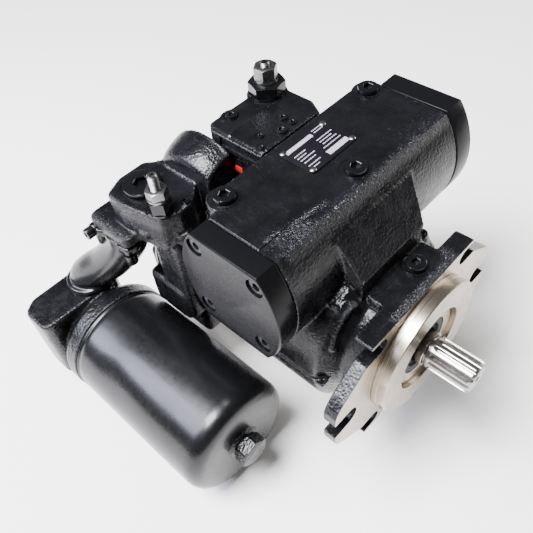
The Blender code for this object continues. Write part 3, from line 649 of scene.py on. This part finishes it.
SHAFT = (0, 0)
SERVO_Y, SERVO_Z, SERVO_HALF = 79.0, 67.5, 38.1
TOP = 105.6
BOSS_TOP = 53.9
PAD_TOP = 77.9
LARGE_PLUG = (-61, 186)
RELIEF_VALVE = (-68.0, 157.5)
CUTOFF_VALVE = (40.0, 162.0)
SPOOL = (148, 88)
CAN = (-110.5, -69.5)
CAN_INLET = (-124, -62)
ELBOW_FOOT = (-101, 243)
ELBOW_SCREWS = [(-89, 181.5), (-89, 215.0)]
TOP_PLUGS = [(82.0, 108.0), (12.5, 65.0), (-53.0, 109.5)]
DRAIN_PLUG = (12.0, 16.3)
COVER_SCREWS = [(55.5, 43.0), (102.5, 43.0), (55.5, 96.0), (102.5, 96.0)]
PORTS = [33.0, -33.0]
PORT_BOLTS = [(a, b) for a in (-11.9, 11.9) for b in (-25.4, 25.4)]


def servo_outline(shrink):
    bulge, flat = 39.5 - shrink, 26.0 - shrink
    half = SERVO_HALF - shrink
    sag = bulge - flat
    radius = (half ** 2 + sag ** 2) / (2 * sag)
    reach = math.degrees(math.asin(half / radius))
    front = arc((SERVO_Y - bulge + radius, SERVO_Z), radius, 180 - reach, 180 + reach, 28)
    rear = arc((SERVO_Y + bulge - radius, SERVO_Z), radius, -reach, reach, 28)
    return front + rear


def flange_outline(shrink):
    """The flange's outline in X and Z: notches for four bolts and slots for two."""
    notch = arc((44.9, 44.9), 5.8 + shrink, 90, 270, 14)
    slot = arc((73.0, 0.0), 7.15 + shrink, 90, 172, 9)
    quarter = [(54.4 - shrink, 53.7 - shrink), (54.4 - shrink, 50.9 + shrink)] + notch
    quarter += [(57.5, 38.9 - shrink), (59.5, 37.9 - shrink), (79.0, 25.0 - shrink),
                (84.0 - shrink, 20.5), (86.6 - shrink, 15.5), (86.9 - shrink, 7.5 + shrink)] + slot
    right = quarter + [(x, -z) for x, z in quarter[::-1]]
    return right + [(-x, z) for x, z in right[::-1]]


def housing_solids():
    """The cast body: flange, neck, barrel, servo cylinder, bosses and webs."""
    ledge = rounded([(-62, 90), (-62, 112), (-56, 118.2), (74, 118.2), (88, 112), (90, 102),
                     (90, 90)], [1, 4, 4, 6, 6, 4, 1], 5)
    boss = rounded(rectangle(-26.5, 2.5, 33, 27), [3, 3, 6, 6], 5)
    web = [[(x0, front, z), (x1, front, z), (x1 + 2, 62, z), (x0 - 2, 62, z)]
           for x0, x1, front, z in ((-29, 33, 26, 36), (-29, 34, 26, 67), (-32, 43, 44.5, 94))]
    return [
        prism("Y", flange_outline(0.1), -1.5, 9.8, 0.8),
        box((-54.2, 0.5, 50.9), (54.2, 13.8, 53.9), 1.2),
        box((-54.2, 0.5, -53.9), (54.2, 13.8, -50.9), 1.2),
        lathe("Y", SHAFT, [(53.8, 1), (53.8, 21.5), (54.4, 23), (65.2, 33.6), (65.8, 35.5),
                           (65.8, 136.5), (65.8, 139.7)], 128),
        lathe("Y", SHAFT, [(64, 130), (65.9, 131), (65.9, 139.7), (64, 139.8)], 128),
        prism("Z", boss, 30, 53.9, 1.6),
        loft(web),
        prism("X", servo_outline(0.15), -70.8, 91.8, 0.6),
        prism("Z", ledge, 80, 105.5, 1.4),
        box((-12.8, 110, 40), (48, 137.5, 66.5), 2.0),
        box((-67.4, 26, -2.4), (-60, 139, -0.4), 0.9),
        box((60, 26, -2.4), (67.2, 139, -0.4), 0.9),
        sweep(smooth_path([(-36, 27, 56), (-40, 30, 48), (-47, 31, 36), (-53, 29, 24)], 6), 3.4),
        sweep(smooth_path([(36, 27, 56), (42, 30, 48), (49, 31, 36), (55, 29, 24)], 6), 3.4),
        box((-44, 33, 30), (-38.5, 62, 52), 2.2),
        box((38.5, 33, 30), (44, 62, 52), 2.2),
    ] + [lathe("Z", place, [(11.5, 92), (11.5, 105.0), (10.9, 105.5)], 48)
         for place in (TOP_PLUGS[2], TOP_PLUGS[0])]


def housing_tools():
    """The inside and the machined surfaces of the housing: painted cuts, then bare ones."""
    cavity = [(31.4, -14), (31.4, -2.4), (21.9, -2.4), (21.9, 14.6), (46, 14.7), (46, 28.5),
              (58, 31.5), (58, 142)]
    tools = [
        lathe("Y", SHAFT, cavity, 96),
        rod("X", (SERVO_Y, SERVO_Z), 24.0, -74, 95, 64),
        box((-17, 29, 34), (17, 62, 66.4), 0.5),
        prism("Y", [(-75, 104.7), (-48, 104.8), (-30, 105.65), (-30, 112), (-75, 112)], 30, 66,
              0.05, 1),
        prism("Y", [(95, 104.7), (66, 104.8), (47, 105.65), (47, 112), (95, 112)], 30, 66, 0.05, 1),
        prism("Z", rectangle(-75, 66.4, -70.1, 99), 104.9, 112, 0.05, 1),
    ]
    for centre in TOP_PLUGS:
        tools.append(spotface(centre, TOP, 10.3))
        tools.append(rod("Z", centre, 6.3, 99.9, 112, 32))
    tools.append(spotface(DRAIN_PLUG, BOSS_TOP, 9.6, 0.5, 1.0))
    tools.append(rod("Z", DRAIN_PLUG, 5.4, 43, 60, 32))
    for y, z in COVER_SCREWS:
        tools.append(rod("X", (y, z), 3.6, -74, -57, 20))
        tools.append(rod("X", (y, z), 3.6, 78, 95, 20))
    face = prism("Y", rectangle(-95, -60, 95, 60), -20, 0.12, 0.02, 1)
    return [tools, [face]]


def build_housing(paint, steel):
    body = cast("housing_casting", housing_solids(), housing_tools(), [paint, steel],
                ["main_housing"], voxel=0.85, smooth=9)
    roughen(body, (-60, 52.5, 103.5), (86, 52.5, 103.5), 7.0)
    roughen(body, (-27, 3, 53.5), (33, 3, 53.5), 5.0)
    roughen(body, (-62, 67, 105), (-20, 61, 105), 3.5)
    roughen(body, (33, 5, 53), (36, 26, 48), 6.0)
    pilot = [(31.5, -9.6), (31.8, -9.9), (50.2, -9.9), (50.8, -9.3), (50.8, -4.2), (50.55, -4.0),
             (50.55, -3.5), (50.8, -3.3), (50.8, -0.4), (50.3, -0.1), (50.3, 0.3), (31.5, 0.3)]
    part("pilot_ring", [lathe("Y", SHAFT, pilot, 160, cyclic=True)], steel, sharp=25.0)
    part("recess_floor", [ring("Y", SHAFT, 22.0, 31.5, -2.0, 0.2, 128)], steel)


def build_covers(paint, bolt):
    for side, inner, outer, way in (("left", -71.3, -86.2, 1), ("right", 92.3, 109.4, -1)):
        start, end = sorted((inner, outer))
        solids = [prism("X", servo_outline(0.1), start, end, 1.1, 4)]
        tools = []
        for y, z in COVER_SCREWS:
            low, high = sorted((outer - way, outer + way * 7.5))
            tools.append(rod("X", (y, z), 6.2, low, high, 40))
            low, high = sorted((inner - way, outer))
            tools.append(rod("X", (y, z), 3.6, low - 2, high + 2, 24))
        obj = part(f"cover_{side}", solids, paint, [f"servo_cover_{side}"])
        carve(obj, [tools], [paint], "EXACT", 35.0, self_crossing=True)
        for number, (y, z) in enumerate(COVER_SCREWS, start=1):
            head = socket_head("X", (y, z), outer + way * 7.0, outer + way * 1.2, 5.5, 5.0, 3.2, 0.6)
            low, high = sorted((outer + way * 6.9, outer + way * 24.5))
            shank = rod("X", (y, z), 3.1, low, high, 24)
            part(f"cover_bolt_{side}_{number}", [head, shank], bolt,
                 [f"cover_screw_{side}_{number}"])


def hump():
    """A swelling beside the control block with a flat front."""
    profile = [(31, -36.8), (34.5, -34.8), (36.8, -31), (38.6, -27), (40.6, -20), (42, -13.8)]
    loops = [circle("X", (168, 58), r, t, 128) for r, t in profile]
    return loft([[(x, max(y, 146.8), z) for x, y, z in loop] for loop in loops])


def end_cap_solids():
    pad = rounded([(-81.5, 200), (-82, 184), (-75.5, 152), (-62, 146.5), (-50, 146.5),
                   (-38.5, 156), (-36, 168), (-36, 198), (-44, 206.5), (-66, 206.5)], 6.0, 6)
    rim = inset(pad, 1.2)
    lug = rounded(rectangle(-92.5, 176, -50, 219.5), [5, 2, 2, 8], 5)
    rim_bead = [(-37.2, 199, 78), (-37.2, 168, 78.2), (-40, 157, 78.2), (-51, 147.8, 78)]
    return [
        lathe("Y", SHAFT, [(66.5, 140.6), (66.8, 142), (66.8, 189), (65, 193), (60, 195.8)], 128),
        hump(),
        box((-63.6, 147, -59.6), (-41, 202.6, 9.6), 5.0),
        box((-75.6, 150.4, -33.6), (-58, 191.6, 1.6), 5.0),
        box((-73.6, 146.4, -29.6), (-40.4, 175.2, 52), 4.5),
        prism("Z", pad, 47, 77.6, 1.6, 4),
        prism("Z", rim, 70, 77.9, 1.0, 3),
        box((-61.6, 150.4, -9), (-38.4, 194.6, 60), 5.0),
        prism("Z", lug, 46.3, 54.9, 1.4),
        box((30, 151, -66), (76, 191, 66), 2.0),
        sweep(smooth_path(rim_bead, 6), 0.9),
        lathe("Z", (-53.3, 151.0), [(4.6, 60), (4.6, 78.2), (4.2, 78.6)], 32),
        sweep(smooth_path([(-62, 150, 60), (-58, 149, 30), (-55, 150, 6)], 6), 6.0),
        sweep(smooth_path([(-76, 170, 62), (-66, 171, 40), (-60, 172, 16)], 6), 7.0),
    ]


def end_cap_tools():
    painted = [
        rod("Y", SHAFT, 66.3, 100, 140.3, 96),
        rod("Y", SHAFT, 51.0, 196.0, 225, 96),
        lathe("Y", SHAFT, [(19.0, 120), (19.0, 150.3), (11.0, 150.4), (11.0, 200)], 64),
        spotface(LARGE_PLUG, PAD_TOP, 15.4, 0.6, 1.6),
        spotface(RELIEF_VALVE, PAD_TOP, 10.6, 0.5, 0.9),
        rod("Z", LARGE_PLUG, 11.3, 64, 84, 48),
        rod("Z", RELIEF_VALVE, 5.8, 54, 84, 32),
    ]
    painted += [rod("Z", place, 2.9, 40, 53, 20) for place in ELBOW_SCREWS]
    bare = [prism("X", rectangle(100, -80, 240, 80), 75.9, 90, 0.02, 1)]
    for z in PORTS:
        bare.append(lathe("X", (171, z), [(9.5, 48), (9.5, 74.8), (10.3, 75.4), (10.3, 90)], 48))
        for y, up in PORT_BOLTS:
            if abs(z + up) < 62:
                bolt_hole = [(3.4, 60), (3.4, 75.2), (4.2, 76.2), (4.2, 90)]
                bare.append(lathe("X", (171 + y, z + up), bolt_hole, 24))
    return [painted, bare]


def build_end_cap(paint, steel):
    cap = cast("end_cap_casting", end_cap_solids(), end_cap_tools(), [paint, steel], ["end_cap"])
    roughen(cap, (-90, 177, 54), (-90, 217, 54), 7.0)
    roughen(cap, (-78, 176, 54), (-60, 176, 54), 9.0)
    roughen(cap, (-82, 185, 62), (-76, 152, 62), 8.0)
    part("cap_spigot", [ring("Y", SHAFT, 19.0, 57.6, 134.3, 140.5, 96)], steel)


def build_control(paint, steel, red):
    outline = rounded([(-12.9, 118.9), (45, 118.9), (51.8, 131), (51.8, 166), (48, 169.9),
                       (-8, 169.9), (-12.9, 164)], 2.0, 4)
    deck = rounded([(-10.4, 119.0), (44, 119.0), (50.6, 131.4), (50.6, 165.4), (47.4, 168.9),
                    (-7.4, 168.9), (-10.4, 165)], 1.6, 4)
    solids = [
        prism("Z", outline, 67.2, 104.6, 1.2),
        prism("Z", deck, 100, 105.5, 0.8),
        box((-10.5, 148.9, 104.5), (42, 150.3, 106.0), 0.5),
        box((-12.9, 119, 94.5), (-8, 152, 96.2), 0.6),
        lathe("X", (141, 83), [(4.6, -12.4), (5.0, -12.0), (5.0, -8)], 40),
        lathe("Z", (5.3, 162.5), [(8.0, 80), (8.0, 105.2), (7.4, 105.8)], 40),
        lathe("Z", CUTOFF_VALVE, [(14.6, 70), (14.6, 104.8), (13.9, 105.5)], 48),
        box((40, 140, 68), (51.8, 168, 104), 2.0),
        lathe("X", SPOOL, [(9.5, 40), (9.5, 51.4), (9.0, 51.8)], 40),
    ]
    small = [((24.0, 133.5), 3.2, 1.4, 2.6), ((24.3, 125.6), 2.6, 1.2, 2.0),
             ((13.6, 125.2), 3.9, 1.6, 3.2), ((1.5, 132.5), 2.2, 0.8, 1.8),
             ((5.3, 162.5), 4.2, 1.8, 3.4), ((-6.5, 124.0), 2.0, 0.7, 1.5)]
    tools = [
        rod("X", SPOOL, 5.3, -7, 60, 40),
        rod("Z", CUTOFF_VALVE, 7.8, 81, 112, 32),
        prism("Z", [(-20, 112), (-20, 158), (-13.2, 158), (-9.4, 152.5), (-9.4, 112)], 60, 94.2,
              0.02, 1),
        prism("Z", [(-20, 112), (-20, 156), (-11.8, 156), (-11.8, 112)], 96.4, 103.2, 0.02, 1),
    ]
    for centre, radius, _, _ in small:
        tools.append(spotface(centre, TOP, radius + 1.2, 0.5, 0.8))
    cast("control_casting", solids, [tools], [paint], ["control_housing"], voxel=0.8, smooth=5)
    for number, (centre, radius, rise, key) in enumerate(small, start=1):
        part(f"control_screw_{number}",
             [socket_head("Z", centre, 104.9, TOP + rise, radius, key, 1.5, 0.4, 48)], paint)
    part("side_plug", [socket_head("X", (153, 90), -10.5, -13.0, 4.4, 3.6, 1.8, 0.5, 48)], paint)
    mark = rounded(rectangle(137.5, 80.5, 144.5, 85.5), 1.6, 4)
    part("red_mark", [prism("X", mark, -13.0, -12.4, 0.2, 2)], red)
    part("spool_end_plug", [socket_head("X", SPOOL, 40.2, 55.8, 5.0, 5.0, 4.0, 0.8),
                            hex_nut(SPOOL, 52.1, 55.6, 14.0, 4.9, axis="X")], steel,
         ["control_end_plug"])


def build_filter(paint, can_paint):
    head = [
        lathe("Y", CAN, [(46.8, 205.6), (47.4, 206.4), (47.4, 217), (45.5, 221),
                         (39, 226.5), (30, 229.5)], 128),
        prism("Z", rounded([(-157.5, 228), (-88, 226), (-82, 238), (-82.5, 263.5), (-146, 263.5),
                            (-157.5, 256)], [9, 6, 5, 5, 9, 9], 6), -91.5, -25.3, 2.4, 4),
        lathe("Y", CAN_INLET, [(20.8, 250), (20.8, 264.2), (19.2, 265.7)], 96),
        sweep(smooth_path([(-101, 243, -40), (-101, 243, -30), (-101, 243, -25.4)], 4), 19.0),
    ]
    tools = [
        lathe("Y", CAN_INLET, [(13.0, 240), (13.0, 264.4), (14.2, 265.4), (14.2, 270)], 64),
        rod("Z", ELBOW_FOOT, 10.0, -45, -20, 48),
        prism("Z", rectangle(-130, 218, -70, 280), -25.0, -10, 0.02, 1),
    ]
    cast("filter_head_casting", head, [tools], [paint], ["filter_head"])
    wall = [(11.0, 66.3), (24, 66.1), (36.5, 66.4), (40.5, 67.5), (43.6, 69.8), (45.6, 73.2),
            (46.35, 77.5), (46.4, 120), (46.4, 160), (46.4, 186.0), (46.4, 201.5), (45.8, 202.6),
            (45.8, 203.4), (46.3, 204.0), (46.3, 204.9), (44.9, 205.0), (44.9, 75.0), (38.0, 69.0),
            (2.0, 68.6), (2.0, 66.4)]
    fine = []
    for (r0, t0), (r1, t1) in zip(wall, wall[1:]):
        pieces = max(1, int(abs(t1 - t0) / 3.0))
        fine += [(r0 + (r1 - r0) * i / pieces, t0 + (t1 - t0) * i / pieces) for i in range(pieces)]
    fine.append(wall[-1])
    mesh = to_mesh("can", lathe("Y", CAN, fine, 192, cyclic=True))
    dents = [((-146, 172, -39), 15, 0.7), ((-128, 182, -27), 16, 0.6), ((-150, 150, -47), 13, 0.4),
             ((-139, 110, -33), 12, 0.2), ((-80, 130, -36), 18, 0.3)]
    for vert in mesh.vertices:
        out = Vector((vert.co.x / MM - CAN[0], 0, vert.co.z / MM - CAN[1]))
        if out.length > 45.6:
            sink = sum(d * math.exp(-((vert.co / MM - Vector(c)).length / r) ** 2)
                       for c, r, d in dents)
            vert.co -= out.normalized() * sink * MM
    add("can_shell", mesh, can_paint, "housing", ["filter_can"], 40.0)
    part("can_nut", [hex_nut(CAN, 53.2, 63.4, 21.6, axis="Y", turn=0.3),
                     lathe("Y", CAN, [(9.0, 62.5), (12.2, 64.6), (14.5, 66.6)], 64)],
         paint)
    part("can_gasket", [ring("Y", CAN, 40.5, 45.8, 204.2, 205.7, 128)],
         matt("gasket", (0.012, 0.012, 0.012), 0.6))


def build_elbow(paint):
    path = smooth_path([(-78, 198, 44), (-78.5, 199, 34), (-82, 207, 20), (-89, 220, 3),
                        (-97, 235, -11), (-101, 243, -20), (-101, 243, -24.6)], 8)

    def width(share):
        return 15.0 + 3.6 * max(0.0, share - 0.86) / 0.14

    collar = rounded([(-92.5, 177), (-84, 176.5), (-64, 186), (-64, 210), (-84, 219.5),
                      (-92.5, 219), (-94, 210), (-86, 198), (-94, 187)], 3.5, 5)
    foot = lathe("Z", ELBOW_FOOT, [(19.6, -24.6), (19.6, -21.6), (18.4, -20.4)], 64)
    solids = [sweep(path, width, 48), prism("Z", collar, 38.4, 45.6, 1.2), foot,
              lathe("X", (216.0, 42.5), [(4.9, -94.2), (5.3, -93.6), (5.3, -84)], 32)]
    bore = sweep(smooth_path([(-78, 198, 50), (-78, 198, 30), (-82.5, 209, 12), (-96, 232, -7),
                              (-101, 243, -18), (-101, 243, -32)], 6), 10.0, 32)
    tools = [bore] + [rod("Z", place, 2.9, 20, 50, 20) for place in ELBOW_SCREWS]
    tools.append(prism("Z", rectangle(-140, 205, -60, 290), -60, -24.7, 0.02, 1))
    cast("elbow_casting", solids, [tools], [paint], ["suction_elbow"], voxel=0.8, smooth=8)
    part("elbow_clamp_screw", [socket_head("X", (216.0, 42.5), -94.0, -100.0, 4.3, 3.6, 2.2, 0.5, 48)],
         paint)
    for number, place in enumerate(ELBOW_SCREWS, start=1):
        head = socket_head("Z", place, 38.0, 29.3, 4.6, 4.0, 2.4, 0.5, 48)
        shank = rod("Z", place, 2.6, 35, 51, 24)
        part(f"elbow_bolt_{number}", [head, shank], paint, [f"elbow_screw_{number}"])


def build_valve(prefix, centre, base, cartridge, nut, stud_size, paint, zinc):
    flats, hex_top = cartridge
    nut_flats, nut_top = nut
    radius, tip = stud_size
    collar = ring("Z", centre, radius + 0.4, flats * 0.56, base + 0.2, base + 1.6, 64)
    part(prefix + "_hex", [hex_nut(centre, base + 1.6, hex_top, flats, radius + 0.4, turn=0.2),
                           collar], paint, [prefix + "_cartridge"])
    washer = ring("Z", centre, radius + 0.4, nut_flats * 0.56, hex_top + 0.3, hex_top + 1.5, 64)
    part(prefix + "_nut", [hex_nut(centre, hex_top + 1.5, nut_top, nut_flats, radius + 0.3,
                                   turn=0.55), washer], zinc,
         [prefix + "_lock_nut"])
    part(prefix + "_screw", [stud(centre, base - 17, tip, radius)], zinc,
         [prefix + "_adjusting_screw"])


def build_nameplate(dark, white, rivet):
    low, high, left, right = 81.6, 110.4, -6.4, 36.4
    plate = rounded(rectangle(left, low, right, high), 2.4, 6)
    part("name_plate", [prism("Z", plate, 105.75, 106.3, 0.15, 2)], dark, ["nameplate"])
    bars = [(left + 3.5, 104.6, 24.0, 3.2), (left + 20.0, 84.6, 19.0, 4.2)]
    rng = random.Random(4)
    rows = [(left + 30, 108.2, 9), (left + 30, 106.0, 8), (left + 4, 99.6, 10), (left + 25, 99.6, 13),
            (left + 4, 97.0, 7), (left + 25, 97.0, 9), (left + 4, 94.4, 12), (left + 25, 94.4, 12),
            (left + 4, 91.4, 9), (left + 22, 91.4, 15), (left + 3.4, 87.6, 10), (left + 3.4, 85.0, 7)]
    solids = []
    for x, y, wide, tall in bars:
        bar = rounded(rectangle(x, y, x + wide, y + tall), 0.4, 2)
        solids.append(prism("Z", bar, 106.2, 106.36, 0.03, 1))
    for x, y, wide in rows:
        at = x
        while at < x + wide:
            step = rng.uniform(0.8, 2.2)
            solids.append(prism("Z", rectangle(at, y, at + step, y + 0.8),
                                106.2, 106.35, 0.03, 1))
            at += step + 0.45
    part("plate_print", solids, white)
    for number, (x, y) in enumerate([(left + 2.6, low + 2.4), (right - 2.6, low + 2.4),
                                     (left + 2.6, high - 2.4), (right - 2.6, high - 2.4)], start=1):
        part(f"plate_rivet_{number}", [lathe("Z", (x, y), [(2.3, 106.2), (2.3, 106.7), (1.9, 107.2),
                                                           (1.1, 107.5), (0.3, 107.6)], 32)],
             rivet)


def build_plugs(paint):
    for number, centre in enumerate(TOP_PLUGS, start=1):
        shank = rod("Z", centre, 6.0, 100.3, 106.0, 32)
        part(f"top_socket_plug_{number}", [socket_head("Z", centre, 105.9, 108.9, 7.1, 6.0, 3.0,
                                                       1.0), shank], paint,
             [f"top_plug_{number}"])
    shank = rod("Z", DRAIN_PLUG, 5.0, 44.6, 54.8, 32)
    part("drain_socket_plug", [socket_head("Z", DRAIN_PLUG, 54.6, 58.2, 6.9, 5.0, 3.0, 1.2), shank],
         paint, ["drain_plug"])
    shank = rod("Z", LARGE_PLUG, 11.0, 66.3, 78.5, 48)
    part("large_socket_plug", [socket_head("Z", LARGE_PLUG, 78.3, 81.9, 13.4, 10.0, 4.5, 1.4, 96),
                               shank], paint, ["large_plug"])
    part("pad_screw", [socket_head("Z", (-53.3, 151.0), 78.0, 79.8, 3.4, 2.6, 1.4, 0.4, 48)], paint)


def build_shaft(steel, rubber):
    teeth, tip, root = 13, 11.8, 9.9
    count = teeth * 16

    def reach(u):
        phase = (u * teeth / (2 * math.pi)) % 1.0
        rise = max(0.0, min(1.0, (0.335 - abs(phase - 0.5)) / 0.1))
        return root + (tip - root) * rise * rise * (3 - 2 * rise)

    def shrunk(limit):
        return lambda u: min(reach(u), limit)

    loops = [circle("Y", SHAFT, 1.6, -42.2, count), circle("Y", SHAFT, 3.0, -44.9, count),
             shaped("Y", SHAFT, -45.0, shrunk(9.6), count),
             shaped("Y", SHAFT, -44.4, shrunk(10.4), count),
             shaped("Y", SHAFT, -43.0, reach, count)]
    loops += [shaped("Y", SHAFT, -43.0 + 26.0 * i / 12, reach, count) for i in range(1, 13)]
    loops += [shaped("Y", SHAFT, -15.6, lambda u: max(reach(u), 10.8), count)]
    for radius, t in ((11.9, -14.4), (11.9, -12.4), (9.6, -12.2), (9.6, -11.0), (12.2, -10.8),
                      (12.5, -10.4), (12.5, 14), (12.0, 16), (12.0, 132.9), (10.0, 133),
                      (10.0, 151.9), (8.0, 152), (8.0, 201.2), (7.0, 201.3), (7.0, 223.9)):
        loops.append(circle("Y", SHAFT, radius, t, count))
    part("splined_shaft", [loft(loops)], steel, ["drive_shaft"],
         body="shaft_group", sharp=30.0)
    lips = [(13.4, -5.4), (13.0, -4.6), (13.0, -3.9), (13.9, -3.4), (16.5, -3.2), (17.2, -5.2),
            (21.4, -5.5), (21.5, -0.6), (13.4, -0.6)]
    part("lip_seal", [lathe("Y", SHAFT, lips, 96, cyclic=True)], rubber,
         ["shaft_seal"])


def build_seal_carrier(steel):
    ring = [(22.0, -5.8), (22.4, -6.0), (29.6, -6.0), (30.9, -4.9), (30.9, -2.4), (22.0, -2.4)]
    part("carrier_ring", [lathe("Y", SHAFT, ring, 128, cyclic=True)], steel,
         ["seal_carrier"], sharp=25.0)


def build_charge_pump(paint, bolt):
    case = [(9.0, 196.4), (49.6, 196.4), (49.9, 196.9), (49.9, 213.6), (49.6, 213.9), (30.4, 213.9),
            (30.4, 202.0), (9.0, 202.0)]
    part("charge_case", [lathe("Y", SHAFT, case, 128, cyclic=True)], paint,
         ["charge_pump_case"])
    cover = [(7.6, 214.2), (49.6, 214.2), (49.9, 214.7), (49.9, 225.2), (48.9, 226.2), (30.2, 226.2),
             (29.6, 226.8), (29.4, 229.3), (28.8, 229.9), (1.0, 229.9), (1.0, 225.2), (7.6, 225.2)]
    part("charge_cover", [lathe("Y", SHAFT, cover, 128, cyclic=True)], paint,
         ["charge_pump_cover"], sharp=20.0)
    for number in range(6):
        turn = math.radians(60 * number + 30)
        at = (39.0 * math.cos(turn), 39.0 * math.sin(turn))
        part(f"charge_bolt_{number + 1}", [socket_head("Y", at, 225.8, 229.95, 4.6, 4.0, 1.8, 0.5,
                                                       48)], bolt)


# ---------------------------------------------------------------- light


def make_stage():
    bm = bmesh.new()
    bmesh.ops.create_grid(bm, x_segments=1, y_segments=1, size=8.0)
    mesh = bpy.data.meshes.new("floor")
    bm.to_mesh(mesh)
    bm.free()
    floor = bpy.data.objects.new("floor", mesh)
    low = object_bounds()[0]
    floor.location = (0.0, 0.0, low[2] - 0.0002)
    bpy.context.scene.collection.objects.link(floor)
    n = Nodes("floor")
    mesh.materials.append(n.finish((0.9, 0.875, 0.845), 0.9, specular=0.1))


def make_light(name, place, target, size, power, colour):
    data = bpy.data.lights.new(name, "AREA")
    data.size = size
    data.energy = power
    data.color = colour
    lamp = bpy.data.objects.new(name, data)
    lamp.location = place
    aim = Vector(target) - Vector(place)
    lamp.rotation_euler = aim.to_track_quat("-Z", "Y").to_euler()
    bpy.context.scene.collection.objects.link(lamp)


def make_lights():
    world = bpy.data.worlds.new("world")
    world.use_nodes = True
    sky = world.node_tree.nodes["Background"]
    sky.inputs["Color"].default_value = (0.95, 0.97, 1.0, 1.0)
    sky.inputs["Strength"].default_value = 0.2
    bpy.context.scene.world = world
    make_light("key", (-0.6, 0.3, 1.35), (0.0, 0.06, -0.05), 0.62, 120.0, (0.95, 0.96, 1.0))
    make_light("window", (-0.95, 0.8, 0.85), (-0.05, 0.09, 0.0), 0.7, 46.0, (0.8, 0.82, 1.0))
    make_light("side", (1.3, -0.35, 0.5), (0.0, 0.05, -0.05), 0.7, 14.0, (1.0, 0.98, 0.96))


# ---------------------------------------------------------------- hidden pieces


def dress_hidden_nodes(steel, bronze, paper):
    """CAD nodes that keep their own shape get the worked materials."""
    by_slot = {"machined_steel": steel, "bearing_bronze": bronze, "filter_paper": paper}
    for entry in frame["record"]["subparts"]:
        mat = by_slot.get(entry["material_slot"])
        node = frame["nodes"][entry["node"]]
        if mat:
            for holder in node.material_slots:
                holder.material = mat


def main():
    make_camera()
    rough_cast = cast_paint("black_cast_paint", 1.0)
    lug_cast = cast_paint("black_coarse_cast", 1.6, 0.5)
    hardware = smooth_paint("black_hardware_paint", 0.0024, (0.16, 0.3), 0.1)
    cover_paint = smooth_paint("black_cover_paint", 0.003, (0.24, 0.38), 0.0, 0.1)
    can_paint = smooth_paint("black_can_paint", 0.0024, (0.26, 0.4), 0.1)
    elbow_paint = smooth_paint("black_elbow_paint", 0.0024, (0.22, 0.34), 0.05)
    # Both steels are tinted warm partly as a painted reflection of a warm surface below.
    face_steel = turned_steel("turned_flange_steel")
    shaft_steel = turned_steel("shaft_steel", (0.36, 0.34, 0.32), (0.16, 0.3))
    bolt = plated("bolt_steel", (0.05, 0.05, 0.055), 0.3)
    zinc = plated("zinc_plating", (0.2, 0.198, 0.19), 0.24)
    rubber = matt("seal_rubber", (0.015, 0.015, 0.015), 0.5)
    bronze = plated("bearing_bronze", (0.6, 0.42, 0.22), 0.3)
    paper = matt("filter_paper", (0.75, 0.66, 0.45), 0.9)
    dark = matt("label_black", (0.004, 0.003, 0.005), 0.3, 300.0, 0.05)
    white = matt("label_white", (0.3, 0.3, 0.31), 0.5, 500.0, 0.05)
    red = matt("red_dab", (0.3, 0.004, 0.006), 0.3)
    build_housing(rough_cast, face_steel)
    build_covers(cover_paint, bolt)
    build_end_cap(rough_cast, face_steel)
    build_control(rough_cast, hardware, red)
    build_filter(lug_cast, can_paint)
    build_elbow(elbow_paint)
    build_valve("relief", RELIEF_VALVE, 78.0, (14.5, 89.0), (13.0, 97.0), (3.5, 108.0), hardware,
                zinc)
    build_valve("cutoff", CUTOFF_VALVE, 105.6, (23.0, 115.0), (14.5, 126.0), (3.5, 128.4),
                hardware, zinc)
    build_nameplate(dark, white, zinc)
    build_plugs(hardware)
    build_shaft(shaft_steel, rubber)
    build_seal_carrier(face_steel)
    build_charge_pump(hardware, bolt)
    dress_hidden_nodes(shaft_steel, bronze, paper)
    make_stage()
    make_lights()


main()
